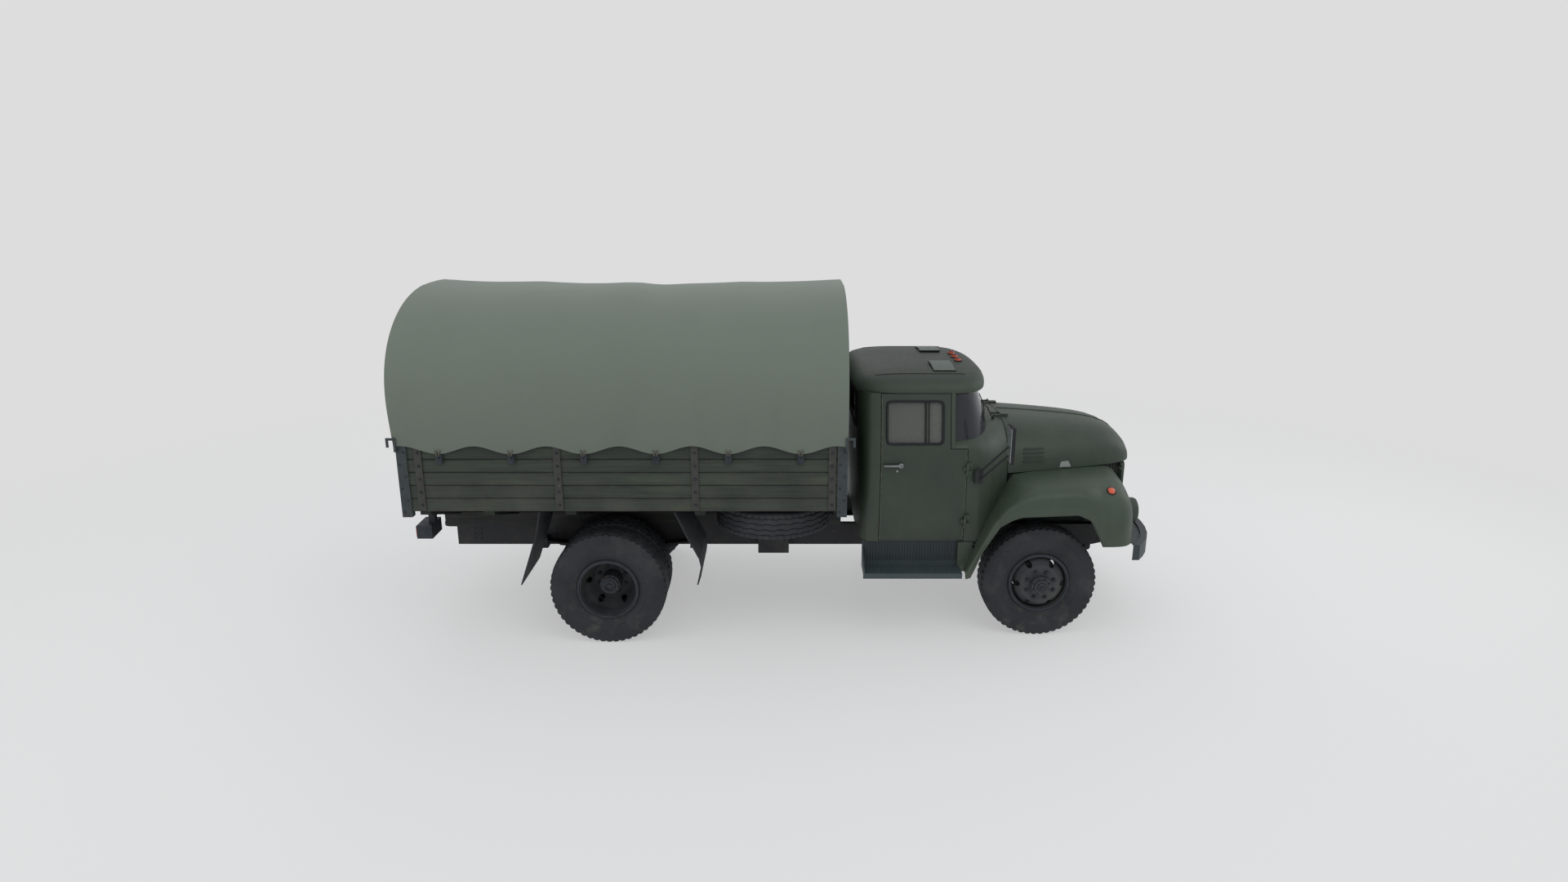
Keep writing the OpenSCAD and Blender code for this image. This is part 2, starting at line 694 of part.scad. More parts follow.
module frame() color("DimGray") {
    both() rail();
    for (x = cross_xs) translate([x, 0, 0])
        bar(-cross_w / 2, cross_w / 2, -rail_y + rail_t, rail_y - rail_t,
            rail_top - rail_t - lug_t - cross_h, rail_top - rail_t - lug_t);
    both() difference() {
        bar(rail_front_x - lug_in - lug_w, rail_front_x - lug_in, rail_y - lug_t - rail_t, rail_y - rail_t,
            rail_top - rail_t, rail_top + lug_w);
        translate([rail_front_x - lug_in - lug_w / 2, rail_y + lap, rail_top + lug_w / 2])
            rotate([90, 0, 0]) cylinder(r = tow_bore_r, h = 3 * lug_t);
    }
}
rear_cross_x = cross_xs[0] - cross_w / 2;
jaw_t = 30;
jaw_open = 80;
jaw_len = 2 * jaw_half;
shank_share = 1.6;
module tow_coupling() color("Gray") difference() {
    union() {
        translate([0, 0, tow_z]) {
            rod([rear_x + jaw_len, 0, 0], [rear_cross_x, 0, 0], shank_share * tow_bore_r);
            for (s = [-1, 1]) translate([0, 0, s * (jaw_open + jaw_t) / 2]) along_z(-jaw_t / 2,
                    jaw_t / 2) {
                translate([rear_x + jaw_half, 0]) circle(r = jaw_half);
                translate([rear_x + jaw_half, -jaw_half]) square([jaw_half + jaw_t, 2 * jaw_half]);
            }
            bar(rear_x + jaw_len, rear_x + jaw_len + jaw_t, -jaw_half, jaw_half, -jaw_open / 2 - jaw_t,
                    jaw_open / 2 + jaw_t);
        }
        bar(rear_cross_x - jaw_t, rear_cross_x, -jaw_half, jaw_half, tow_z - jaw_half / 2,
                tow_z + jaw_half / 2);
    }
    translate([rear_x + jaw_half, 0, tow_z - jaw_half * 2]) cylinder(r = tow_bore_r, h = 4 * jaw_half);
}
// Front edge of the bumper: share of the half width, share of the sweep
bumper_shares = [[0, 0], [0.43, 0], [0.56, 0.07], [0.70, 0.22], [0.82, 0.44], [0.92, 0.72], [1, 1]];
function bumper_edge(d) = concat(
    [for (k = [len(bumper_shares) - 1 : -1 : 1]) [front_x - d - bumper_shares[k][1] * bumper_sweep,
            -bumper_shares[k][0] * bumper_half]],
    [for (k = [1 : len(bumper_shares) - 1]) [front_x - d - bumper_shares[k][1] * bumper_sweep,
            bumper_shares[k][0] * bumper_half]]);
function reversed(l) = [for (k = [len(l) - 1 : -1 : 0]) l[k]];
module bumper() color("DarkSlateGray") difference() {
    union() {
        along_z(bumper_z, bumper_z + bumper_h) polygon(concat(bumper_edge(0),
                reversed(bumper_edge(bumper_t))));
        for (z = [bumper_z, bumper_z + bumper_h - bumper_t]) along_z(z, z + bumper_t)
            polygon(concat(bumper_edge(0), reversed(bumper_edge(bumper_lip))));
    }
    both() bar(rail_front_x - 2 * bumper_lip, rail_front_x, rail_y - rail_flange - lap, rail_y + lap,
            rail_z, rail_top + lug_t);
}

// Engine and drive

engine_x = hood_rear_x + lug_t;
engine_len = radiator_x - radiator_t - fan_gap - engine_x;
module engine() color("SlateGray") {
    bar(engine_x, engine_x + engine_len, -engine_half, engine_half, engine_z, engine_z + engine_h);
    bar(engine_x - gearbox_len, engine_x + lap, -gearbox_half, gearbox_half, engine_z, rail_top + lug_t);
    both() bar(engine_x + cross_w, engine_x + 2 * cross_w, engine_half - lap, rail_y - rail_t,
        rail_z + rail_t + lug_t, rail_z + rail_t + 3 * lug_t);
}
shaft_rise_share = 1.2;
module driveshaft() color("DimGray") difference() {
    rod([rear_axle_x + banjo_r, 0, tyre_r], [engine_x - gearbox_len + lug_t, 0,
            engine_z + shaft_rise_share * shaft_r], shaft_r);
    bar(rear_axle_x, rear_axle_x + banjo_r + nose_r, -nose_r, nose_r, tyre_r - nose_r, tyre_r + nose_r);
    bar(engine_x - gearbox_len, engine_x, -gearbox_half, gearbox_half, engine_z, rail_top);
}
module radiator() color("Black") bar(radiator_x - radiator_t, radiator_x, -radiator_half, radiator_half,
    rail_top, seam_z);

// Under the bed

tank_z = sill_top - tank_h - 2 * run_gap - lug_t / 2;
module fuel_tank() color("DimGray") {
    cx = rear_axle_x + tank_x;
    y0 = rail_y + lug_t;
    along_x(cx - tank_len / 2, cx + tank_len / 2) translate([y0 + tank_w / 2,
            tank_z + tank_h / 2]) rounded(tank_w, tank_h, tank_r);
    for (s = [-1, 1]) bar(cx + s * tank_len / 4 - lug_t, cx + s * tank_len / 4 + lug_t, rail_y,
            y0 + lap, rail_z + lug_t, rail_top);
}
module at_spare() translate([spare_cx, -spare_y, spare_z]) rotate([-90, 0, 0]) children();
module spare_wheel() color("DarkSlateGray") at_spare() rim();
module spare_tyre() at_spare() tyre();
carrier_w = 285;
carrier_h = 138;
carrier_z = 607;
carrier_share = 1.6;
module spare_carrier() color("DimGray") {
    under = spare_z - disc_y;
    bar(spare_cx - carrier_w / 2, spare_cx + carrier_w / 2, -rail_y - carrier_share * rail_flange,
            -rail_y, carrier_z, carrier_z + carrier_h);
    for (s = [-1, 1]) translate([spare_cx + s * (carrier_w - arm_t) / 2, 0, 0]) along_x(-arm_t / 2,
            arm_t / 2)
        polygon([[-rail_y, carrier_z + carrier_h / 2], [-rail_y, under - lug_t], [-rail_y - lug_t, under],
            [-spare_y - rim_r, under], [-spare_y - rim_r, under - lug_t], [-spare_y + rim_r / 2,
                    under - lug_t * 2],
            [-rail_y - carrier_share * rail_flange, carrier_z + carrier_h / 2]]);
}
// Flap outlines: share of the tyre radius along the truck, share of the height to the floor
rear_flap_shares = [[-1.07, 1], [-1.15, 0.7], [-1.27, 0.42], [-1.46, 0]];
front_flap_shares = [[1.18, 1], [1.38, 0.66], [1.58, 0.36], [1.61, 0.25], [1.59, 0.12], [1.54, 0]];
flap_rise = floor_under - flap_z;
module flap(shares) along_y(rear_track / 2 - twin_pitch, rear_track / 2 + twin_pitch) polygon(concat(
    [for (s = shares) [rear_axle_x + s[0] * tyre_r, flap_z + s[1] * flap_rise]],
    [for (k = [len(shares) - 1 : -1 : 0]) [rear_axle_x + shares[k][0] * tyre_r + flap_t,
            flap_z + shares[k][1] * flap_rise]]));
module mud_flaps() color("DimGray") both() {
    flap(rear_flap_shares);
    flap(front_flap_shares);
}

// Cab

// Side profile: share of the height from sill to belt or belt to eaves, share of the way in
low_shares = [[0, 0], [0.14, 0.45], [0.36, 0.85], [0.62, 1], [0.86, 0.92], [1, 0.72]];
high_shares = [[0.10, 0.06], [1, 1]];
waist_half = mix(sill_half, belly_half, low_shares[5][1]);
profile = concat([for (s = low_shares) [mix(cab_z, belt_z, s[0]), mix(sill_half, belly_half, s[1])]],
    [for (s = high_shares) [mix(belt_z, eave_z, s[0]), mix(waist_half, eave_half, s[1])]]);
function half_at(z) = lookup(z, profile);
module side_band(d0, d1) polygon(concat([for (p = profile) [p[1] - d0, p[0]]],
    [for (p = reversed(profile)) [p[1] - d1, p[0]]]));

// Rear wall seen from above: power of the rounded corner
corner_power = 5;
back_steps = 12;
function back_row(z, d) = [for (k = [-back_steps : back_steps])
    let (a = 90 * k / back_steps)
    [door_rear_x - door_gap - (door_rear_x - door_gap - cab_rear_x - d) * cpow(a, corner_power),
     (half_at(z) - d) * spow(a, corner_power), z]];
module cab_back_wall() color("OliveDrab") difference() {
    sheet([for (p = profile) back_row(p[0], 0)], [for (p = profile) back_row(p[0], wall_t)]);
    translate([cab_rear_x, 0, rear_glass_z + rear_glass_h / 2]) along_x(-lap, 2 * wall_t)
        rounded(2 * rear_glass_half, rear_glass_h, tank_r);
}

// Doors
door_top = eave_z - door_gap;
door_low = floor_top - floor_t + door_gap;
module door_outline() polygon([[door_rear_x, door_low], [door_front_x, door_low], [door_front_x, belt_z],
    [pillar_x - door_gap, belt_z], [pillar_x - door_gap, door_top], [door_rear_x, door_top]]);
module window_outline() {
    x0 = front_axle_x - window_back;
    x1 = front_axle_x - window_front;
    xq = front_axle_x - quarter_back;
    translate([x0, window_z]) square([xq - quarter_bar / 2 - x0, window_h]);
    translate([xq + quarter_bar / 2, window_z]) square([x1 - xq - quarter_bar / 2, window_h]);
}
handle_w = 158;
handle_h = 26;
handle_z = 1596;
hinge_r = 12;
hinge_h = 110;
// Door hinges: shares of the height from the sill to the belt
hinge_height_shares = [0.24, 0.80];
hinge_zs = [for (s = hinge_height_shares) mix(cab_z, belt_z, s)];
door_pin_x = door_front_x + door_gap / 2;
door_pin_y = belly_half + hinge_r + 2 * run_gap;
module door() color("OliveDrab") {
    intersection() {
        along_x(door_rear_x - lap, door_front_x + lap) side_band(0, wall_t);
        along_y(eave_half / 2, belly_half + lap) difference() {
            door_outline();
            window_outline();
        }
    }
    for (z = hinge_zs) translate([door_pin_x, door_pin_y, z]) {
        translate([0, 0, -hinge_h / 6 + run_gap]) cylinder(r = hinge_r, h = hinge_h / 3 - 2 * run_gap);
        bar(-3 * hinge_r, -door_gap / 2, -4 * hinge_r, -hinge_r / 3, -hinge_h / 6 + run_gap,
                    hinge_h / 6 - run_gap);
                bar(-door_gap, 0, -hinge_r, -hinge_r / 3, -hinge_h / 6 + run_gap, hinge_h / 6 - run_gap);
    }
    bar(door_rear_x + handle_h, door_rear_x + handle_h + handle_w, half_at(handle_z) - handle_h,
            half_at(handle_z) + handle_h,
        handle_z - handle_h / 2, handle_z + handle_h / 2);
}
module door_left() door();
module door_right() mirror([0, 1, 0]) door();
module door_glass() color("LightSteelBlue") intersection() {
    along_x(door_rear_x, door_front_x) side_band((wall_t - glass_t) / 2, (wall_t + glass_t) / 2);
    along_y(eave_half / 2, belly_half) window_outline();
}
module door_glass_left() door_glass();
module door_glass_right() mirror([0, 1, 0]) door_glass();

// Roof seen from above: powers of the rounded outline, front and rear
visor_power = 2.6;
roof_rear_power = 7;
roof_steps = 40;
roof_x = cab_rear_x - wall_t;
// Rings of the roof: share of the plan, share of the rise
roof_shares = [[1, 0], [1.004, 0.18], [0.99, 0.38], [0.955, 0.58], [0.89, 0.75], [0.78, 0.88], [0.58,
        0.965], [0.3, 1]];
function roof_ring(k, z, d) = [for (i = [0 : roof_steps - 1])
    let (a = 360 * i / roof_steps, front = cos(a) >= 0, p = front ? visor_power : roof_rear_power)
    [screen_x + k * (front ? visor - d : screen_x - roof_x - d) * cpow(a, p),
            k * (eave_half + lap - d) * spow(a, p), z]];
vent_back = 851;
vent_y = 359;
vent_len = 200;
vent_w = 150;
vent_t = 16;
vent_top = eave_z + roof_rise + vent_t;
marker_r = 30;
marker_h = 34;
// Shoulder of a marker lamp: share of its height, share of its radius above
marker_shares = [0.6, 0.7];
roof_lamp_pitch = 182;
roof_lamp_share = 0.39;
roof_lamp_x = screen_x + roof_lamp_share * visor;
roof_lamp_z = eave_z + roof_rise;
module cab_roof() color("OliveDrab") {
    dome([for (s = roof_shares) roof_ring(s[0], eave_z + s[1] * roof_rise, 0)],
        [for (s = roof_shares) roof_ring(s[0], eave_z + s[1] * (roof_rise - wall_t), wall_t)]);
    for (s = [-1, 1]) translate([front_axle_x - vent_back, s * vent_y, vent_top - wall_t])
        along_z(0, wall_t) rounded(vent_len, vent_w, vent_t);
    for (k = [-1 : 1]) translate([roof_lamp_x, k * roof_lamp_pitch, roof_lamp_z - wall_t])
        cylinder(r = marker_r + vent_t / 3, h = wall_t);
}

// Windscreen bow at a share of its height, 0 at the base
screen_power = 2.6;
screen_steps = 14;
function screen_row(s, d) = [for (k = [-screen_steps : screen_steps])
    let (a = 90 * k / screen_steps,
         x = screen_x + (mix(screen_depth, screen_top_depth, s) - d) * cpow(a, screen_power),
         y = (mix(screen_half, screen_top_half, s) - d) * spow(a, screen_power),
         xb = screen_x + screen_depth * cpow(a, screen_power))
    [x, y, mix(cowl_edge_z(xb), eave_z, s)]];

// Cowl: share of its length, half width as a share from the belly to the hood, power of the section
cowl_half_shares = [[0, 0], [0.25, 0.07], [0.5, 0.26], [0.75, 0.58], [1, 1]];
cowl_power_shares = [[0, 4.4], [1, 2.8]];
cowl_low = cab_z;
function cowl_share(x) = (x - cowl_start_x) / (cowl_x - cowl_start_x);
function cowl_half(x) = mix(belly_half, hood_half, lookup(cowl_share(x), cowl_half_shares));
function cowl_side_z(x) = mix(handle_z, seam_z, max(0, cowl_share(x)));
function cowl_power(x) = lookup(cowl_share(x), cowl_power_shares);
// Half width of the windscreen's base at x
function screen_half_at(x) = screen_half * pow(max(0, 1 - pow(max(0, (x - screen_x) / screen_depth),
        screen_power)), 1 / screen_power);
function cowl_end_angle(x) = x > screen_x + screen_depth ? 90
    : acos(min(1, pow(screen_half_at(x) / cowl_half(x), cowl_power(x) / 2)));
function cowl_edge_z(x) = mix(cowl_side_z(x), hood_z, spow(cowl_end_angle(x), cowl_power(x)));
cowl_rows = 16;
cowl_cols = 10;
function cowl_row(x) = concat(
    [for (k = [cowl_cols : -1 : 0]) let (a = cowl_end_angle(x) * k / cowl_cols)
        [x, cowl_half(x) * cpow(a, cowl_power(x)), mix(cowl_side_z(x), hood_z, spow(a, cowl_power(x)))]],
    [for (s = [0.35, 0.7, 1]) [x, mix(cowl_half(x), min(cowl_half(x), sill_half), s),
            mix(cowl_side_z(x), cowl_low_at(x), s)]]);
// Lower edge of the cowl's side, clear of the wheel
toe_back = 572;
toe_x = front_axle_x - toe_back;
cowl_deep_share = (shoulder_z - cowl_low) / fender_h;
// Drop of that edge: share of the cowl's length, share of the fender's height under the shoulder
cowl_drop_shares = [[0, cowl_deep_share], [0.25, cowl_deep_share], [0.9, 0.3], [1, 0.2]];
function cowl_low_at(x) = shoulder_z - fender_h * lookup(cowl_share(x), cowl_drop_shares);
module cowl_skin(x0, x1, rows) {
    g = [for (k = [0 : rows]) cowl_row(mix(x0, x1, k / rows))];
    sheet(g, inset(g, hood_t));
}
ledge_z = belt_z + door_gap;
// Hinges of the hood: places across as a share of the half width
hinge_share = 0.36;
hinge_pin_r = 5;
// Hinge ears: their middles as a share of the barrel
ear_share = 0.75;
hinge_out_r = 10;
hinge_len = 60;
hinge_leaf = 70;
hinge_leaf_t = 10;
hood_hinge_z = hood_z + 8 * run_gap;
hood_hinge_low = 22;
module cowl() color("OliveDrab") {
    both() {
        cowl_skin(cowl_start_x, cowl_x, cowl_rows);
        intersection() {
            cowl_skin(pillar_x, cowl_start_x + lap, cowl_cols);
            bar(pillar_x, cowl_start_x + 2 * lap, 0, belly_half + lap, ledge_z, eave_z);
        }
        intersection() {
            along_x(pillar_x, screen_x) side_band(0, wall_t);
            bar(pillar_x, screen_x, 0, belly_half + lap, ledge_z, eave_z);
        }
        bar(pad_x, pad_x + pad_len, belly_half - 2 * hood_t, pad_y, pad_z, pad_z + pad_h);
        for (z = hinge_zs) translate([door_pin_x, door_pin_y, z]) {
            for (k = [-1, 1]) translate([0, 0, k * hinge_h / 3 - hinge_h / 6]) {
                cylinder(r = hinge_r, h = hinge_h / 3);
                bar(door_gap / 2, 3 * hinge_r, -4 * hinge_r, -hinge_r / 3, 0, hinge_h / 3);
                bar(0, door_gap, -hinge_r, -hinge_r / 3, 0, hinge_h / 3);
            }
        }
        translate([hood_rear_x, hinge_share * hood_half, hood_hinge_z]) {
            rotate([-90, 0, 0]) cylinder(r = hinge_pin_r, h = 2 * hinge_len, center = true);
            for (k = [-1, 1]) translate([0, k * ear_share * hinge_len, 0]) {
                rotate([-90, 0, 0]) cylinder(r = hinge_out_r, h = hinge_len / 2 - 2 * run_gap,
                        center = true);
                bar(-hinge_leaf, -2 * run_gap, run_gap - hinge_len / 4, hinge_len / 4 - run_gap,
                        -hood_hinge_low - hinge_leaf_t, 0);
            }
        }
    }
}

// Hood

hood_rows = 16;
hood_cols = 18;
// Hood along its length: share of the length, share of the crown's height, share of the half width
hood_shares = [[0, 1, 1], [0.12, 0.982, 0.972], [0.25, 0.958, 0.94], [0.4, 0.925, 0.90], [0.55, 0.885,
        0.855],
    [0.68, 0.835, 0.81], [0.78, 0.775, 0.77], [0.86, 0.69, 0.72], [0.92, 0.575, 0.665], [0.96, 0.44,
            0.60],
    [0.985, 0.29, 0.52], [1, 0.13, 0.42]];
hood_power = 2.8;
function hood_half_at(s) = hood_half * lookup(s, [for (r = hood_shares) [r[0], r[2]]]);
function seam_at(s) = seam_z + seam_rise * s;
function hood_row(r) = [for (k = [-hood_cols / 2 : hood_cols / 2])
    let (a = 180 * k / hood_cols)
    [mix(hood_rear_x, nose_x, r[0]), r[2] * hood_half * spow(a, hood_power),
     seam_at(r[0]) + r[1] * (hood_z - seam_z - seam_rise * r[0]) * cpow(a, hood_power)]];
hood_len = nose_x - hood_rear_x;
// Louvre panel: its start as a share of the hood's length, its foot as a share of the crown over the seam
louvre_share = 0.12;
louvre_low_share = 0.22;
function crown_at(s) = lookup(s, [for (r = hood_shares) [r[0], r[1]]]) * (hood_z - seam_at(s));
function hood_side(s, z) = hood_half_at(s) * pow(1 - pow((z - seam_at(s)) / crown_at(s), hood_power),
        1 / hood_power);
module louvre(z) {
    s0 = louvre_share;
    s1 = louvre_share + louvre_len / hood_len;
    along_z(z, z + louvre_h) polygon([[hood_rear_x + s0 * hood_len, hood_side(s0, z) - hood_t / 2],
        [hood_rear_x + s1 * hood_len, hood_side(s1, z) - hood_t / 2],
        [hood_rear_x + s1 * hood_len, hood_side(s1, z) + louvre_h / 2],
        [hood_rear_x + s0 * hood_len, hood_side(s0, z) + louvre_h]]);
}
module hood() color("OliveDrab") {
    g = [for (r = hood_shares) hood_row(r)];
    sheet(g, inset(g, hood_t));
    both() for (k = [0 : louvres - 1])
        louvre(seam_z + louvre_low_share * (hood_z - seam_z) + k * louvre_h * 3);
    both() translate([hood_rear_x, hinge_share * hood_half, hood_hinge_z]) difference() {
        union() {
            rotate([-90, 0, 0]) cylinder(r = hinge_out_r, h = hinge_len, center = true);
            bar(0, hinge_leaf, -hinge_len / 2, hinge_len / 2, -hood_hinge_low - hinge_leaf_t, 0);
        }
        rotate([-90, 0, 0]) cylinder(r = hinge_pin_r + run_gap / 2, h = 2 * hinge_len, center = true);
        bar(-hinge_leaf, door_gap / 2, -hinge_len, hinge_len, -2 * hinge_leaf, -hinge_out_r);
    }
}

// Fenders

// Shoulder line: share of the length from the tail, share of the height
top_shares = [[0, 0.05], [0.024, 0.156], [0.074, 0.329], [0.142, 0.593], [0.223, 0.787], [0.311, 0.907],
    [0.405, 0.976], [0.586, 0.998], [0.797, 1], [0.899, 0.976], [0.951, 0.922], [0.978, 0.844], [0.992,
            0.725],
    [0.998, 0.545], [1, 0.375]];
// Arch lip: the same columns
lip_shares = [[0, 0], [0.024, 0.01], [0.082, 0.301], [0.182, 0.576], [0.287, 0.679], [0.636, 0.705],
    [0.71, 0.644], [0.768, 0.461], [0.792, 0.359], [1, 0.359]];
// Outer half width: share of the length, share of the half width
out_shares = [[0, 0.982], [0.05, 0.995], [0.1, 1], [0.85, 1], [0.899, 0.991], [0.93, 0.975], [0.951,
        0.952],
    [0.978, 0.912], [0.992, 0.868], [0.998, 0.825], [1, 0.79]];
// Rise from the shoulder to the hood seam: share of the length, share of the height
rise_shares = [[0, 0], [0.25, 0], [0.311, 0.07], [0.405, 0.02], [0.586, 0.012], [0.8, 0.02], [0.899,
        0.045],
    [0.951, 0.06], [0.978, 0.03], [0.992, 0], [1, 0]];
// Stations along the fender
fender_station_shares = [0, 0.024, 0.05, 0.082, 0.115, 0.15, 0.182, 0.223, 0.26, 0.311, 0.36, 0.405,
        0.5, 0.586,
    0.636, 0.68, 0.71, 0.74, 0.768, 0.792, 0.85, 0.899, 0.93, 0.951, 0.978, 0.992, 0.998, 1];
fender_power = 3.4;
// Middle of the flare: share of its width, share of its height
flare_shares = [0.35, 0.4];
fender_cols = 9;
function fender_in(x) = x < cowl_x ? cowl_half(max(x, cowl_start_x)) + door_gap - run_gap / 2
    : hood_half_at((x - hood_rear_x) / (nose_x - hood_rear_x)) + door_gap;
function fender_row(s) =
    let (x = tail_x + s * fender_len, yi = fender_in(x), yo = lookup(s, out_shares) * fender_half,
         zt = fender_z + lookup(s, top_shares) * fender_h, zl = fender_z + lookup(s,
                 lip_shares) * fender_h,
         f = min(flare_h, (zt - zl) / 2), rise = lookup(s, rise_shares) * fender_h)
    concat([for (k = [0 : fender_cols]) let (a = 90 - 90 * k / fender_cols, u = cpow(a, fender_power))
        [x, mix(yi, yo, u), mix(zl + f, zt, spow(a, fender_power)) + rise * (1 - u) * (1 - u)]],
        [[x, yo + flare_shares[0] * flare, zl + flare_shares[1] * f], [x, yo + flare, zl]]);
module fender() color("OliveDrab") difference() {
    g = [for (s = fender_station_shares) fender_row(s)];
    sheet(g, inset(g, fender_t));
    translate([fender_nose_x - lamp_r, lamp_y, lamp_z]) rotate([0, 90, 0]) cylinder(r = lamp_r,
            h = 2 * lamp_r);
}
module fender_left() fender();
module fender_right() mirror([0, 1, 0]) fender();

// Front

grille_big_r = (grille_half * grille_half + grille_bow * grille_bow) / (2 * grille_bow);
grille_top = seam_z + seam_rise - lug_t;
slot_spread_share = 1.7;
module grille() color("OliveDrab") {
    difference() {
        along_z(grille_z, grille_top) intersection() {
            translate([grille_x + grille_bow - grille_big_r, 0]) difference() {
                circle(r = grille_big_r);
                circle(r = grille_big_r - grille_t);
            }
            translate([grille_x - grille_t, -grille_half]) square([grille_bow + 2 * grille_t,
                    2 * grille_half]);
        }
        for (k = [0 : grille_slots - 1]) translate([0,
                (k - (grille_slots - 1) / 2) * slot_spread_share * grille_half / grille_slots, 0])
            bar(grille_x - grille_t, grille_x + grille_bow + lap, -slot_w / 2, slot_w / 2,
                    grille_z + slot_w * 2, grille_top - slot_w * 2);
    }
    both() bar(grille_x + grille_bow / 4, grille_x + grille_bow / 2, rail_y - rail_flange,
            rail_y - rail_t, rail_top, grille_z + lap);
}
lamp_out = 60;
tail_lamp_y = 800;
tail_lamp_len = 110;
tail_lamp_h = 120;
tail_lamp_z = 890;
module lamps() color("Orange") {
    for (k = [-1 : 1]) translate([roof_lamp_x, k * roof_lamp_pitch, roof_lamp_z]) {
        cylinder(r = marker_r, h = marker_shares[0] * marker_h);
        cylinder(r = marker_shares[1] * marker_r, h = marker_h);
    }
    both() translate([fender_nose_x - lamp_r, lamp_y, lamp_z]) rotate([0, 90, 0]) cylinder(r = lamp_r,
            h = lamp_r + lamp_out);
    both() {
        bar(bed_rear_x - tail_lamp_len / 4, bed_rear_x + tail_lamp_len, tail_lamp_y - tail_lamp_h,
                tail_lamp_y + tail_lamp_h,
            tail_lamp_z, tail_lamp_z + tail_lamp_h);
        bar(bed_rear_x + tail_lamp_len / 2, bed_rear_x + tail_lamp_len, tail_lamp_y - tail_lamp_h / 4,
                tail_lamp_y + tail_lamp_h / 4,
            tail_lamp_z, floor_under);
    }
}

// Steps and mirrors

skirt_y = sill_half - 2 * step_t;
module steps() color("DarkSlateGray") both() {
    x0 = front_axle_x - step_back;
    x1 = front_axle_x - step_front;
    bar(x0, x1, skirt_y - step_t, step_half, step_z - step_t, step_z);
    bar(x0, x1, step_half - step_t, step_half, step_z - step_lip, step_z);
    bar(x0, x1, skirt_y - step_t, skirt_y, step_z - step_t, cab_z);
    along_x(x0, x0 + step_t) polygon([[skirt_y - lap, step_z - lap], [step_half, step_z - lap],
            [step_half, step_z + step_lip], [skirt_y - lap, cab_z - step_lip]]);
}
mirror_x = front_axle_x - mirror_back;
pad_in = 25;
pad_out = 16;
pad_x = cowl_start_x + 3 * hinge_r + pad_in;
pad_len = 65;
pad_z = 1440;
pad_h = 120;
pad_y = belly_half + pad_out;
module mirrors() color("DimGray") both() {
    bar(mirror_x - mirror_t / 2, mirror_x + mirror_t / 2, mirror_y - mirror_w / 2,
            mirror_y + mirror_w / 2, mirror_z, mirror_z + mirror_h);
    bar(pad_x, pad_x + pad_len, pad_y, pad_y + 2 * rod_r, pad_z, pad_z + pad_h);
    rod([pad_x + pad_len / 2, pad_y + rod_r, pad_z + 3 * rod_r], [mirror_x, mirror_y,
            mirror_z + mirror_h / 4], rod_r);
    rod([pad_x + pad_len / 2, pad_y + rod_r, pad_z + pad_h - 3 * rod_r], [mirror_x, mirror_y,
            mirror_z + mirror_h / 2], rod_r);
}

// Cab floor and inside

firewall_x = cowl_x - floor_t;
toe_half = hood_half - 5 * hood_t;
// Top of the sloping toe board under the seam, as a share of the fender height
toe_share = 0.2;
toe_top = seam_z - toe_share * fender_h;
cowl_foot = sill_half - hood_t - run_gap / 2;
module toe_outline() polygon([[toe_x - lap, floor_z], [toe_x - lap, floor_top],
    [firewall_x - floor_t, toe_top], [firewall_x - floor_t, hood_z - 8 * hood_t],
    [firewall_x, hood_z - 8 * hood_t], [firewall_x, toe_top - floor_t], [toe_x + floor_t, floor_z]]);
module floor_plan(d, half) polygon(concat([for (p = back_row(floor_z, d)) if (abs(p[1]) < half) [p[0],
        p[1]]],
    [[door_rear_x, half], [toe_x, half], [toe_x, -half], [door_rear_x, -half]]));
module cab_floor() color("DimGray") {
    x0 = cab_rear_x + wall_t;
    along_z(floor_z, floor_top) floor_plan(wall_t + run_gap / 4, sill_half - wall_t - door_gap);
    bar(door_rear_x, door_front_x, -sill_half + step_t, sill_half - step_t, cab_z, floor_z + lap / 4);
    bar(door_front_x - lap, toe_x - 2 * lap, -cowl_foot, cowl_foot, cab_z, floor_z + lap / 4);
    for (x = [x0 + wall_t, toe_x - 4 * wall_t]) both() bar(x, x + 2 * wall_t, rail_y - rail_flange,
            rail_y, rail_top, floor_z + lap);
    along_y(-toe_half, toe_half) toe_outline();
}
seat_x = cab_rear_x + 3 * wall_t;
seat_len = 480;
seat_back_h = 520;
seat_back_t = 120;
seat_box_share = 0.9;
module seat() color("SaddleBrown") {
    bar(seat_x, seat_x + seat_box_share * seat_len, -seat_box_share * seat_half,
            seat_box_share * seat_half, floor_top, floor_top + seat_h - cushion_h + lap);
    bar(seat_x, seat_x + seat_len, -seat_half, seat_half, floor_top + seat_h - cushion_h,
            floor_top + seat_h);
    along_y(-seat_half, seat_half) polygon([[seat_x, floor_top + seat_h - lap], [seat_x + seat_back_t,
            floor_top + seat_h - lap],
        [seat_x + seat_back_t / 2, floor_top + seat_h + seat_back_h], [seat_x - seat_back_t / 2,
                floor_top + seat_h + seat_back_h]]);
}
dash_len = 230;
dash_z = 1500;
dash_h = 190;
dash_half = 600;
module dashboard() color("DimGray") bar(firewall_x - floor_t - dash_len, firewall_x - floor_t,
        -dash_half, dash_half, dash_z, dash_z + dash_h);
column_r = 26;
column_in = 40;
column_run_share = 0.4;
wheel_back = 850;
wheel_z = 1540;
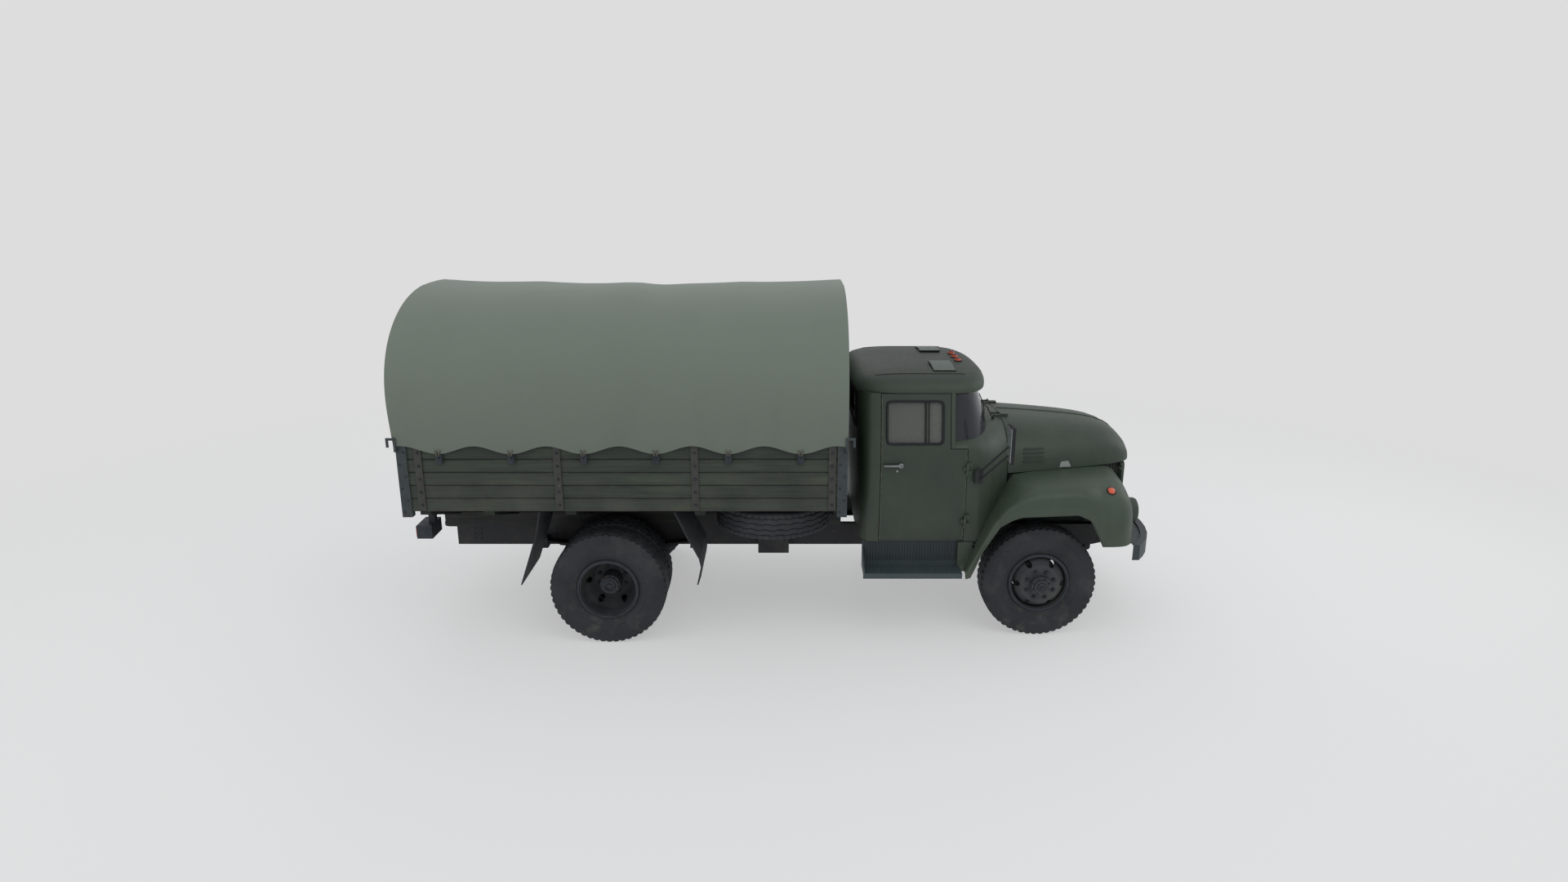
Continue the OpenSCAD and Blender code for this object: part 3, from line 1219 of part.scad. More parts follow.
module steering_wheel() color("Black") {
    p = [front_axle_x - wheel_back, wheel_y, wheel_z];
    q = [toe_x + column_in, wheel_y, floor_top + 3 * column_in];
    v = unit(q - p);
    difference() {
        rod(p, q + v * column_run_share * wheel_r, column_r);
        along_y(-toe_half, toe_half) polygon([[toe_x - lap, floor_z], [toe_x - lap, floor_top],
            [firewall_x - floor_t, toe_top], [firewall_x + wheel_r, toe_top],
            [firewall_x + wheel_r, floor_z]]);
    }
    translate(p) rotate([0, acos(v[2]), 0]) {
        rotate_extrude() translate([wheel_r, 0]) circle(r = wheel_rim_r);
        for (a = [0 : 120 : 240]) rotate([0, 0, a]) translate([0, -wheel_rim_r,
                -wheel_rim_r / 2]) cube([wheel_r, 2 * wheel_rim_r, wheel_rim_r]);
    }
}
module screens() color("LightSteelBlue") {
    sheet([for (s = [1 : -0.25 : 0]) screen_row(s, 0)], [for (s = [1 : -0.25 : 0]) screen_row(s,
            glass_t)]);
    translate([0, 0, rear_glass_z + rear_glass_h / 2]) along_x(cab_rear_x + wall_t / 2,
            cab_rear_x + wall_t / 2 + glass_t)
        rounded(2 * rear_glass_half, rear_glass_h, tank_r);
}

// Load bed

// Bearers: places along the bed as shares of its length from the rear
bearer_shares = [0.046, 0.19, 0.375, 0.668, 0.984];
bed_len = bed_front_x - bed_rear_x;
module bed_bearers() color("OliveDrab") {
    for (s = bearer_shares) translate([bed_rear_x + s * bed_len, 0, 0]) along_x(-bearer_w / 2,
            bearer_w / 2)
        polygon([[-board_in, floor_under], [board_in, floor_under], [board_in,
                floor_under - bearer_end_h],
            [bearer_mid_half, sill_top], [-bearer_mid_half, sill_top],
            [-board_in, floor_under - bearer_end_h]]);
    both() bar(bed_rear_x + board_t, bed_front_x, rail_y - rail_flange, rail_y, rail_top,
        sill_top - run_gap / 2);
}
gate_gap = door_gap;
module bed_floor() color("OliveDrab") bar(bed_rear_x + board_t + gate_gap, bed_front_x - board_t,
        -board_in, board_in, floor_under, bed_floor_z);
plank_h = board_h / planks;
// Outline of a boarded wall, outer face at zero, grooves between the planks
module boards_outline(t) polygon(concat([[-t, board_z], [0, board_z]],
    [for (k = [1 : planks - 1]) for (p = [[0, -groove_w / 2], [-groove_d, 0], [0,
            groove_w / 2]]) [p[0], board_z + k * plank_h + p[1]]],
    [[0, board_top], [-t, board_top]]));
module bed_side() color("OliveDrab") along_x(bed_rear_x + post_w,
        bed_front_x - post_w) translate([board_half, 0]) boards_outline(board_t);
module bed_side_left() bed_side();
module bed_side_right() mirror([0, 1, 0]) bed_side();
module headboard() color("OliveDrab") {
    along_y(-board_in, board_in) translate([bed_front_x, 0]) boards_outline(board_t);
    bar(bed_front_x - board_t, bed_front_x, -board_in, board_in, floor_under, board_z + lap);
}
gate_half = board_in - gate_gap;
// Tailgate hinges: places across as shares of the gate's half width
gate_hinge_shares = [0.3, 0.85];
gate_pin_r = 8;
gate_out_r = 15;
gate_leaf = 120;
gate_hinge_x = bed_rear_x - iron_t / 2;
gate_hinge_z = floor_under - gate_pin_r - run_gap;
strap_rise = 360;
module tailgate() color("OliveDrab") {
    along_y(-gate_half, gate_half) translate([bed_rear_x, 0]) mirror([1, 0]) boards_outline(board_t);
    both() for (s = gate_hinge_shares) translate([gate_hinge_x, s * gate_half,
            gate_hinge_z]) difference() {
        union() {
            rotate([-90, 0, 0]) cylinder(r = gate_out_r, h = strap_w, center = true);
            bar(-iron_t / 2, iron_t / 2, -strap_w / 2, strap_w / 2, 0, strap_rise);
        }
        rotate([-90, 0, 0]) cylinder(r = gate_pin_r + run_gap / 2, h = 2 * strap_w, center = true);
    }
}

// Hinge straps: places along the bed as shares of its length from the rear
strap_shares = [0.047, 0.355, 0.66, 0.966];
post_top = board_top + iron_t * 2;
// Foot of the hooks under the boards' top, as a share of their height
hook_low_share = 1.3;
latch_t = 20;
latch_len = 80;
latch_out = 60;
latch_y = tilt_half + 2 * run_gap;
module bed_irons() color("DarkSlateGray") both() {
    for (s = gate_hinge_shares) translate([gate_hinge_x, s * gate_half, gate_hinge_z]) {
        rotate([-90, 0, 0]) cylinder(r = gate_pin_r, h = 2 * strap_w, center = true);
        for (k = [-1, 1]) translate([0, k * ear_share * strap_w + k * run_gap, 0])
            bar(-gate_pin_r, gate_leaf, -strap_w / 4, strap_w / 4, -gate_pin_r - run_gap,
                    gate_pin_r + run_gap);
    }
    for (x = [bed_rear_x, bed_front_x - post_w]) bar(x, x + post_w, board_in, board_half + iron_t,
            floor_under - bearer_end_h, post_top);
    for (s = strap_shares) translate([bed_rear_x + s * bed_len, 0, 0])
        bar(-strap_w / 2, strap_w / 2, board_half, board_half + iron_t, board_z + iron_t, board_top);
    for (k = [[bed_rear_x, -1], [bed_front_x, 1]]) translate([k[0], 0, 0]) mirror([k[1] < 0 ? 1 : 0, 0,
            0]) {
        bar(-latch_t, 0, board_half, latch_y + latch_t / 2, board_top - 2 * latch_t,
                hem_z + hem_wave / 2);
        bar(-latch_t, 0, latch_y, latch_y + latch_t / 2, board_top - 2 * latch_t, board_top + latch_len);
        bar(-latch_t, latch_out, latch_y, latch_y + latch_t / 2, board_top + latch_len - latch_t,
                board_top + latch_len);
        bar(latch_out - latch_t, latch_out, latch_y, latch_y + latch_t / 2, board_top,
                board_top + latch_len);
    }
    for (k = [0 : hooks - 1]) translate([rear_axle_x - hook_back + k * hook_pitch, 0, 0])
        bar(-hook_w / 2, hook_w / 2, board_half, tilt_half - tilt_t - run_gap,
                board_top - hook_low_share * hook_h, board_top - (hook_low_share - 1) * hook_h);
}

// Tilt

tilt_cols = 24;
tilt_power = 2.5;
tilt_rise = tilt_z - spring_z;
hook_x = rear_axle_x - hook_back;
function hem_at(x) = hem_z + hem_wave * (1 - cos(360 * (x - hook_x) / hook_pitch)) / 2;
function sag_at(x) = tilt_sag * sin(180 * (x - bed_rear_x) / bed_len);
function tilt_row(x, d) = concat([[x, d - tilt_half, hem_at(x)]],
    [for (k = [0 : tilt_cols]) let (a = 180 - 180 * k / tilt_cols)
        [x, (tilt_half - d) * cpow(a, tilt_power), spring_z + (tilt_rise - sag_at(x) - d) * spow(a,
                tilt_power)]],
    [[x, tilt_half - d, hem_at(x)]]);
tilt_steps = 25;
module tilt_cover() color("DarkSeaGreen")
    sheet([for (k = [0 : tilt_steps]) tilt_row(mix(bed_rear_x, bed_front_x, k / tilt_steps), 0)],
        [for (k = [0 : tilt_steps]) tilt_row(mix(bed_rear_x, bed_front_x, k / tilt_steps), tilt_t)]);
module arch_outline(d, low) polygon(concat([[d - tilt_half, low]],
    [for (k = [0 : tilt_cols]) let (a = 180 - 180 * k / tilt_cols)
        [(tilt_half - d) * cpow(a, tilt_power), spring_z + (tilt_rise - d) * spow(a, tilt_power)]],
    [[tilt_half - d, low]]));
curtain_gap = 2 * door_gap;
module tilt_ends() color("DarkSeaGreen") {
    along_x(bed_front_x, bed_front_x + tilt_t) arch_outline(0, board_top - hook_h / 2);
    along_x(bed_rear_x - tilt_t, bed_rear_x) arch_outline(0, board_top + curtain_gap);
}
bows = 5;
module tilt_bows() color("DimGray") for (k = [1 : bows - 2]) {
    x = mix(bed_rear_x, bed_front_x, k / (bows - 1));
    along_x(x - bow_r, x + bow_r) difference() {
        arch_outline(tilt_t + bow_r * 2 + run_gap * 5, board_top);
        translate([0, -lap]) arch_outline(tilt_t + bow_r * 4, board_top);
    }
}

frame();
bumper();
tow_coupling();
front_axle();
rear_axle();
springs();
knuckle_left();
knuckle_right();
wheel_front_left();
wheel_front_right();
tyre_front_left();
tyre_front_right();
wheels_rear_left();
wheels_rear_right();
tyres_rear_left();
tyres_rear_right();
engine();
driveshaft();
radiator();
fuel_tank();
spare_wheel();
spare_tyre();
spare_carrier();
grille();
hood();
fender_left();
fender_right();
cowl();
cab_floor();
cab_back_wall();
cab_roof();
door_left();
door_right();
door_glass_left();
door_glass_right();
screens();
steps();
lamps();
mirrors();
seat();
dashboard();
steering_wheel();
bed_floor();
bed_bearers();
bed_side_left();
bed_side_right();
headboard();
tailgate();
bed_irons();
tilt_cover();
tilt_ends();
tilt_bows();
mud_flaps();
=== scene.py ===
"""Dresses the bonneted cargo truck: paint, canvas, rubber, boards and small fittings, in metres."""

import math

import bmesh
import bpy
from mathutils import Matrix, Vector, noise
from mathutils.bvhtree import BVHTree


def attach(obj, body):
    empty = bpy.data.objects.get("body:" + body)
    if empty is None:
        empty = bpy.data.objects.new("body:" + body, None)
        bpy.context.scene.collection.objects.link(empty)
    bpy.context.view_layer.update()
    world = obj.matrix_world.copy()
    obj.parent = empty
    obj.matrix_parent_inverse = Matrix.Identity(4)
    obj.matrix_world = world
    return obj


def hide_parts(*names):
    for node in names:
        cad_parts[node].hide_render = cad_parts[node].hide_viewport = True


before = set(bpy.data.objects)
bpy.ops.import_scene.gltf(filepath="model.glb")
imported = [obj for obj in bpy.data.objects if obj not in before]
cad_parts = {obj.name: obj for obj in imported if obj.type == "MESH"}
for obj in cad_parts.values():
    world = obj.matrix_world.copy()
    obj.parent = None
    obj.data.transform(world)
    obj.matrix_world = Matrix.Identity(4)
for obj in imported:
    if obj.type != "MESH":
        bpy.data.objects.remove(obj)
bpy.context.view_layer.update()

bl_info = {
    "name": "Cargo truck dresser",
    "version": (1, 0, 0),
    "blender": (4, 5, 0),
    "location": "View3D > Sidebar > Truck",
    "description": "Dresses a bonneted cargo truck with a canvas tilt",
    "category": "Object",
}

SIDES = ((1, "left"), (-1, "right"))
FRONT_AXLE, REAR_AXLE, AXLE_HIGH = 2.2625, -1.5375, 0.509
FRONT_HUB, REAR_HUB, REAR_TWINS = 0.9, 0.895, (0.74, 1.05)
SPARE = (-0.0975, -0.712, 1.1035)
BED_REAR, BED_FRONT = -3.2245, 0.5315
BOARD_HALF, BOARD_LOW, PLANK = 1.225, 1.256, 0.1142
HOOK_PITCH = 0.601
HOOKS = [REAR_AXLE - 1.329 + HOOK_PITCH * k for k in range(6)]
STRAPS = [BED_REAR + s * (BED_FRONT - BED_REAR) for s in (0.047, 0.355, 0.66, 0.966)]
TILT_HALF, SPRING, CROWN = 1.258, 2.05, 3.062
CURTAIN_LOW, FRONT_WALL_LOW, BULGE_LOW = 1.839, 1.771, 1.78
TILT_LENGTH, HEM_LOW, HEM_RISE = 3.80, 1.768, 0.068
HEADLAMP, SIDE_LAMP, ROOF_LAMP, ROOF_LAMP_PITCH = (3.1225, 0.8, 1.12), (2.828, 1.365), 1.6008, 0.182
DOOR_REAR, DOOR_FRONT, HANDLE_HIGH, LOCK_HIGH = 0.8335, 1.5725, 1.598, 1.545
WINDOW_REAR, WINDOW_FRONT, WINDOW_LOW, WINDOW_TOP = 0.8805, 1.3625, 1.781, 2.137
QUARTER_BARS = (1.2135, 1.2375)
REAR_WINDOW, REAR_WINDOW_HALF, REAR_WINDOW_LOW, REAR_WINDOW_TOP = 0.652, 0.45, 1.8, 2.09
WALL_HALF, BELT, WALL_LEAN = 0.9945, 1.782, 0.2234
FENDER_ARCH, FENDER_SKIN = (27, 162), 0.85
GRILLE_FACE, GRILLE_HALF, GRILLE_ROUND = 3.1975, 0.56, 1.532
BUMPER_BACK = [
    (0.0, 3.3235), (0.454, 3.3235), (0.591, 3.3078), (0.739, 3.274),
    (0.865, 3.2245), (0.971, 3.1615), (1.04, 3.112),
]
BUMPER_END, FENDER_NOSE = 0.8, 3.068
SHELF_LOW, SHELF_TOP, LIP_LOW, LIP_TOP = 0.862, 0.870, 1.40, 1.525
TANK_INNER, TANK_OUTER, TANK_LOW, TANK_TOP = 0.458, 0.867, 0.647, 0.955
TANK_BANDS, TANK_CAP = (-0.4375, -0.1375, 0.1625), (0.26, 0.78, 0.950)
TAIL_LAMP_REAR, TAIL_LAMP_FRONT, TAIL_LAMP_LOW, TAIL_LAMP_TOP = -3.262, -3.2515, 0.902, 0.998
TREAD_REAR, TREAD_PITCH, SKIRT_REAR, SKIRT_PITCH = 0.725, 0.0318, 0.715, 0.0255
POST_HALF = 0.0425
STRAP_FACE, RAIL_FACE, BUMPER_FACE, DASH_FACE = BOARD_HALF + 0.011, 0.4325, 3.3375, 1.7045
VENT_REAR, VENT_FRONT, VENT_TOP, VENT_EDGES = 1.3165, 1.5065, 2.3735, (0.27, 0.44, 0.62)
EYE, EYE_AIM, LENS, SENSOR = (0, -8.7845, 3.9409), (0, 0, 1.537), 21.72, 36
LIGHT_AIM, FLOOR_RADIUS = (0, 0, 1.2), 30
SKY_TONE, SKY_STRENGTH = (0.95, 0.97, 1), 0.72
LIGHTS = (
    ("key", (4.5, -7.0, 8.5), 150, 6.0), ("fill", (-7.5, -5.0, 5.5), 90, 6.0),
    ("back", (-2.0, 8.5, 7.0), 110, 6.0), ("nose", (9.0, 1.5, 4.5), 70, 4.0),
)
X, Y, Z = Vector((1, 0, 0)), Vector((0, 1, 0)), Vector((0, 0, 1))


def srgb(r, g, b):
    """A colour as seen on screen, turned into the linear values that the shaders use."""
    def turn(v):
        v /= 255
        return v / 12.92 if v <= 0.04045 else ((v + 0.055) / 1.055) ** 2.4
    return (turn(r), turn(g), turn(b))


def size(name, description, default):
    """A length that the panel shows."""
    return bpy.props.FloatProperty(name=name, description=description, default=default, unit="LENGTH", min=0)


def colour(name, description, default):
    """A colour that the panel shows."""
    return bpy.props.FloatVectorProperty(
        name=name, description=description, default=default, subtype="COLOR", size=3, min=0, max=1
    )


class TruckSizes(bpy.types.PropertyGroup):
    """Sizes of the dressed pieces."""

    tyre_radius: size("Tyre radius", "Radius over the tread", 0.509)
    tyre_width: size("Tyre width", "Width over the sidewalls", 0.259)
    rim_radius: size("Rim radius", "Radius where the tyre sits", 0.254)
    lug_depth: size("Lug depth", "Depth of the tread's cross grooves", 0.011)
    canvas: size("Canvas", "Thickness of the tilt's cloth", 0.003)
    fold: size("Fold depth", "Depth of the tilt's soft folds", 0.010)
    bulge: size("Rear bulge", "How far the rear curtain stands out", 0.032)
    bolt: size("Bolt radius", "Radius of the bolts on the straps", 0.011)
    seal: size("Seal radius", "Radius of the window rubbers", 0.011)
    rope: size("Rope radius", "Radius of the tilt's ties", 0.006)


class TruckColours(bpy.types.PropertyGroup):
    """Colours of the finishes, as they look in plain light."""

    cab: colour("Cab paint", "Dark green of the cab and hood", srgb(53, 64, 52))
    iron: colour("Iron paint", "Blue green of posts, steps and bumper", srgb(47, 57, 60))
    chassis: colour("Chassis paint", "Near black of the frame and axles", srgb(24, 24, 27))
    wheel: colour("Wheel paint", "Dark grey of rims and hubs", srgb(46, 49, 52))
    rubber: colour("Rubber", "Tyres, flaps and seals", srgb(44, 46, 49))
    canvas: colour("Canvas", "Grey green of the tilt", srgb(117, 126, 115))
    board: colour("Boards", "Painted planks of the bed", srgb(41, 50, 41))
    dust: colour("Dust", "Road dust on the lower parts", srgb(112, 108, 96))
    glass: colour("Glass", "Tint of the door windows", srgb(106, 110, 104))
    screen: colour("Screens", "Tint of the windscreen and rear window", srgb(44, 47, 52))
    strap: colour("Straps", "Brown grey of the bed's straps", srgb(54, 54, 48))
    lamp: colour("Marker lamps", "Orange of the small lamps", srgb(205, 84, 48))
    seat: colour("Seat cover", "Brown of the bench", srgb(74, 58, 46))
    floor: colour("Studio floor", "Pale floor and background", srgb(221, 221, 221))


class Value:
    """A shader socket that adds Math nodes when it is used in a sum."""

    def __init__(self, nodes, socket):
        self.nodes, self.socket = nodes, socket

    def math(self, operation, a, b=0.0):
        return self.nodes.node("ShaderNodeMath", {"operation": operation}, {0: a, 1: b})

    def __add__(self, other):
        return self.math("ADD", self, other)

    def __radd__(self, other):
        return self.math("ADD", other, self)

    def __sub__(self, other):
        return self.math("SUBTRACT", self, other)

    def __rsub__(self, other):
        return self.math("SUBTRACT", other, self)

    def __mul__(self, other):
        return self.math("MULTIPLY", self, other)

    def __rmul__(self, other):
        return self.math("MULTIPLY", other, self)

    def __truediv__(self, other):
        return self.math("DIVIDE", self, other)

    def __rtruediv__(self, other):
        return self.math("DIVIDE", other, self)

    def __pow__(self, other):
        return self.math("POWER", self, other)

    def __rpow__(self, other):
        return self.math("POWER", other, self)

    def over(self, other):
        """The larger of two values."""
        return self.math("MAXIMUM", self, other)

    def sine(self):
        return self.math("SINE", self)

    def size(self):
        return self.math("ABSOLUTE", self)

    def part(self):
        return self.math("FRACT", self)

    def ramp(self, low, high, out_low=0.0, out_high=1.0):
        """The value stretched from low..high to out_low..out_high and held there."""
        return self.nodes.node(
            "ShaderNodeMapRange", {"clamp": True},
            {"Value": self, "From Min": low, "From Max": high, "To Min": out_low, "To Max": out_high},
        )


class Nodes:
    """A node tree that is built up from nothing."""

    def __init__(self, tree):
        self.tree = tree
        tree.nodes.clear()

    def node(self, kind, settings, inputs, out=0):
        """Adds a node: its settings first, then the values or links of its sockets."""
        made = self.tree.nodes.new(kind)
        for key, value in settings.items():
            setattr(made, key, value)
        for key, value in inputs.items():
            socket = made.inputs[key]
            if isinstance(value, Value):
                self.tree.links.new(value.socket, socket)
            elif socket.type == "RGBA" and len(value) == 3:
                socket.default_value = (*value, 1)
            else:
                socket.default_value = value
        return Value(self, made.outputs[out]) if len(made.outputs) else None


class Finish(Nodes):
    """One material and the nodes that make it."""

    def __init__(self, name):
        self.material = bpy.data.materials.new(name)
        self.material.use_nodes = True
        super().__init__(self.material.node_tree)
        self.place = self.node("ShaderNodeTexCoord", {}, {}, "Object")
        parts = self.node("ShaderNodeSeparateXYZ", {}, {0: self.place})
        self.x, self.y, self.z = (Value(self, s) for s in parts.socket.node.outputs)

    def noise(self, scale, detail=3.0, stretch=(1, 1, 1), rough=0.55, at=None):
        spot = self.node("ShaderNodeVectorMath", {"operation": "MULTIPLY"}, {0: at or self.place, 1: stretch})
        inputs = {"Vector": spot, "Scale": scale, "Detail": detail, "Roughness": rough}
        return self.node("ShaderNodeTexNoise", {}, inputs)

    def mix(self, factor, a, b):
        return self.node("ShaderNodeMix", {"data_type": "RGBA"}, {0: factor, 6: a, 7: b}, 2)

    def bump(self, height, distance, strength=1.0):
        return self.node("ShaderNodeBump", {}, {"Height": height, "Distance": distance, "Strength": strength})

    def done(self, **inputs):
        """Ends in a Principled shader; names use underscores for spaces."""
        named = {key.replace("_", " "): value for key, value in inputs.items()}
        return self.surface(self.node("ShaderNodeBsdfPrincipled", {}, named))

    def surface(self, shader):
        """Ends in any shader."""
        self.node("ShaderNodeOutputMaterial", {}, {"Surface": shader})
        return self.material


def tinted(tone, share):
    """A tone made lighter or darker by a share."""
    return tuple(min(1.0, v * share) for v in tone)


def paint(
    name, tone, dust, gloss=0.5, low=0.55, high=1.5, dents=0.0022, streak=0.25, edges=(), painted_light_below=None,
):
    """Old brushed paint: cloudy tone, streaks down the panels, small dents, dust from below, rubbed edges,
    and where asked a lighter band below a given height, painted light.
    """
    f = Finish(name)
    cloud = f.noise(1.6, 4)
    grain = f.noise(26, 5)
    run = f.noise(5, 4, (3.2, 3.2, 0.35))
    tone_a = f.mix(cloud.ramp(0.3, 0.7), tinted(tone, 0.80), tinted(tone, 1.16))
    tone_b = f.mix(run.ramp(0.45, 0.75) * streak, tone_a, tinted(tone, 0.62))
    chip = f.noise(58, 2).ramp(0.70, 0.76) * f.noise(3.1, 2).ramp(0.5, 0.62)
    tone_c = f.mix(chip * 0.55, tone_b, tinted(tone, 2.0))
    for edge in edges:
        near = (f.x - edge).size().ramp(0.004, 0.011, 1, 0) * f.noise(44, 3).ramp(0.42, 0.56)
        tone_c = f.mix(near * 0.6, tone_c, srgb(96, 98, 74))
    # Painted light: below the given height band the tone turns lighter, standing in for light on lit faces.
    if painted_light_below:
        tone_c = f.mix(f.z.ramp(*painted_light_below, 1, 0) * 0.8, tone_c, tinted(tone, 2.1))
    rise = f.z.ramp(low, high, 1, 0)
    dirt = rise * rise * f.noise(4.2, 5, (1, 1, 0.6)).ramp(0.35, 0.75)
    skin = f.mix(dirt * 0.42, tone_c, dust)
    lumps = f.noise(19, 3) * 0.6 + f.noise(90, 2) * 0.12 + f.noise(6, 2) * 1.1
    return f.done(
        Base_Color=skin,
        Roughness=(grain * 0.22 + (gloss - 0.11) + dirt * 0.25),
        Normal=f.bump(lumps, dents, 0.55),
        Specular_IOR_Level=0.42,
    )


def strap_finish(name, tone, strap, dust):
    """Iron paint on the bed's posts and hooks, brown grey and rusty where the straps run."""
    f = Finish(name)
    cloud = f.noise(9, 5)
    where = (f.x - STRAPS[0]).size().ramp(0.045, 0.05, 1, 0)
    for spot in STRAPS[1:]:
        where = where + (f.x - spot).size().ramp(0.045, 0.05, 1, 0)
    where = where * f.z.ramp(1.24, 1.25)
    base = f.mix(where, tone, strap)
    dark = f.mix(cloud.ramp(0.35, 0.65) * 0.5, base, tinted(strap, 0.6))
    skin = f.mix(f.noise(30, 4).ramp(0.62, 0.7) * 0.35, dark, dust)
    return f.done(Base_Color=skin, Roughness=(cloud * 0.3 + 0.45), Normal=f.bump(f.noise(40, 3), 0.0018, 0.6))


def chassis_finish(name, tone, dust):
    """Near black frame paint under oily grime and dried mud."""
    f = Finish(name)
    grime = f.noise(7, 6)
    mud = f.noise(2.4, 5).ramp(0.48, 0.7) * f.z.ramp(0.35, 0.95, 0.75, 0.1)
    rust = f.noise(11, 4).ramp(0.64, 0.72)
    base = f.mix(grime.ramp(0.3, 0.7), tinted(tone, 0.7), tinted(tone, 1.35))
    rusty = f.mix(rust * 0.5, base, srgb(74, 54, 42))
    skin = f.mix(mud * 0.35, rusty, dust)
    return f.done(
        Base_Color=skin, Roughness=(grime * 0.3 + 0.5), Normal=f.bump(f.noise(48, 4), 0.002, 0.6)
    )


def rubber_finish(name, tone, dust, wheel=True):
    """Tyre rubber: fine grain, grey bloom, dust in the tread."""
    f = Finish(name)
    bloom = f.noise(3.5, 5)
    grain = f.noise(140, 3)
    tone_a = f.mix(bloom.ramp(0.3, 0.72), tinted(tone, 0.72), tinted(tone, 1.18))
    low = f.z.ramp(0.0, 0.5, 1, 0.35) if wheel else f.z.ramp(0.5, 1.2, 1, 0)
    dirt = f.noise(9, 5).ramp(0.5, 0.75) * low
    skin = f.mix(dirt * 0.34, tone_a, dust)
    return f.done(
        Base_Color=skin, Roughness=(grain * 0.2 + 0.66), Normal=f.bump(grain + bloom, 0.0012, 0.6),
        Specular_IOR_Level=0.35,
    )


def canvas_finish(name, tone):
    """Waterproofed canvas: plain weave, lighter towards the crown, damp and dirty hem."""
    f = Finish(name)
    warp = (f.x * 900).sine()
    weft = ((f.y + f.z) * 900).sine()
    weave = warp * weft
    crown_share = f.z.ramp(1.75, 3.05)
    cloud = f.noise(1.1, 4)
    stain = f.noise(3.4, 5, (1, 1, 0.3)).ramp(0.5, 0.78) * f.z.ramp(1.75, 2.5, 1, 0.25)
    # The tone runs from darker at the hem to lighter at the crown.
    tone_a = f.mix(crown_share, tinted(tone, 0.74), tinted(tone, 1.08))
    tone_b = f.mix(cloud.ramp(0.3, 0.7) * 0.35, tone_a, tinted(tone, 0.86))
    tone_c = f.mix(stain * 0.3, tone_b, tinted(tone, 0.52))
    thread = f.noise(420, 2)
    skin = f.mix(thread.ramp(0.35, 0.65) * 0.22, tone_c, tinted(tone, 0.66))
    return f.done(
        Base_Color=skin, Roughness=(cloud * 0.12 + 0.8), Sheen_Weight=0.12, Sheen_Roughness=0.5,
        Normal=f.bump(weave * 0.25 + thread * 0.5 + f.noise(14, 3) * 1.6, 0.0016, 0.5),
        Specular_IOR_Level=0.25,
    )


def board_finish(name, tone, dust, plank=PLANK, low=BOARD_LOW):
    """Painted softwood planks: each its own tone, long grain, paint worn through at the edges, and painted
    shade darkening each plank towards its edges.
    """
    f = Finish(name)
    row = (f.z - low) / plank
    step = f.node("ShaderNodeMath", {"operation": "FLOOR"}, {0: row})
    pick = f.node("ShaderNodeTexWhiteNoise", {"noise_dimensions": "1D"}, {"W": step})
    off = (row.part() - 0.5).size()
    edge = off.ramp(0.36, 0.5)
    along = f.node("ShaderNodeCombineXYZ", {}, {0: f.x + pick * 7.0, 1: f.y, 2: f.z})
    grain = f.noise(1.0, 6, (2.2, 34, 60), 0.62, along)
    cloud = f.noise(1.0, 4, (1.8, 3, 9), 0.5, along)
    tone_a = f.mix(pick.ramp(0, 1), tinted(tone, 0.82), tinted(tone, 1.15))
    tone_b = f.mix(grain.ramp(0.42, 0.66) * 0.6, tone_a, tinted(tone, 0.52))
    tone_c = f.mix(cloud.ramp(0.52, 0.7) * 0.35, tone_b, srgb(66, 80, 56))
    bare = edge * f.noise(1.0, 4, (7, 7, 30)).ramp(0.52, 0.68)
    tone_d = f.mix(bare * 0.45, tone_c, srgb(106, 101, 86))
    # Painted shade: each plank darkens towards its long edges, standing in for its rounded faces turning from
    # the light.
    plank_edge_shade = off.ramp(0.12, 0.5)
    tone_shaded = f.mix(plank_edge_shade * plank_edge_shade * 0.62, tone_d, tinted(tone, 0.4))
    tone_e = f.mix(off.ramp(0.455, 0.495) * 0.8, tone_shaded, tinted(tone, 0.25))
    skin = f.mix(f.z.ramp(low, low + 0.5, 0.22, 0) * f.noise(3, 4).ramp(0.3, 0.7), tone_e, dust)
    return f.done(
        Base_Color=skin, Roughness=(grain * 0.25 + 0.55), Normal=f.bump(grain - edge * 0.5, 0.004, 0.6)
    )


def glass_finish(name, tone, cover):
    """Window glass: grey and dusty, thin enough to see the seat, lighter towards the front."""
    f = Finish(name)
    smear = f.noise(2.3, 4)
    front = f.x.ramp(0.85, 1.35, 0.7, 1.05) + smear * 0.2 - 0.1
    grey = f.mix(front, tinted(tone, 0.3), tone)
    return f.done(
        Base_Color=grey, Roughness=(smear * 0.10 + 0.05), Alpha=(smear * 0.14 + (cover - 0.07)),
        Specular_IOR_Level=0.5,
    )


def lens_finish(name, tone, ribs=260.0, glow=0.0):
    """Moulded lamp lens with fine ribs."""
    f = Finish(name)
    rib = (f.z * ribs).sine() * 0.5 + (f.y * ribs + f.x * ribs).sine() * 0.5
    haze = f.noise(18, 3)
    return f.done(
        Base_Color=f.mix(haze.ramp(0.3, 0.7), tinted(tone, 0.82), tinted(tone, 1.1)),
        Roughness=(haze * 0.12 + 0.12),
        Normal=f.bump(rib, 0.0016, 0.5), Coat_Weight=0.4, Emission_Color=tone, Emission_Strength=glow,
    )


def metal_finish(name, tone, rough=0.35, worn=0.5):
    """Bare or plated metal with fine scratches and dull patches."""
    f = Finish(name)
    dull = f.noise(13, 5)
    scratch = f.noise(120, 2, (1, 1, 0.08))
    return f.done(
        Base_Color=f.mix(dull.ramp(0.35, 0.7) * worn, tone, tinted(tone, 0.5)), Metallic=0.85,
        Roughness=(dull * 0.25 + scratch * 0.1 + (rough - 0.1)), Normal=f.bump(scratch, 0.0006, 0.4),
    )


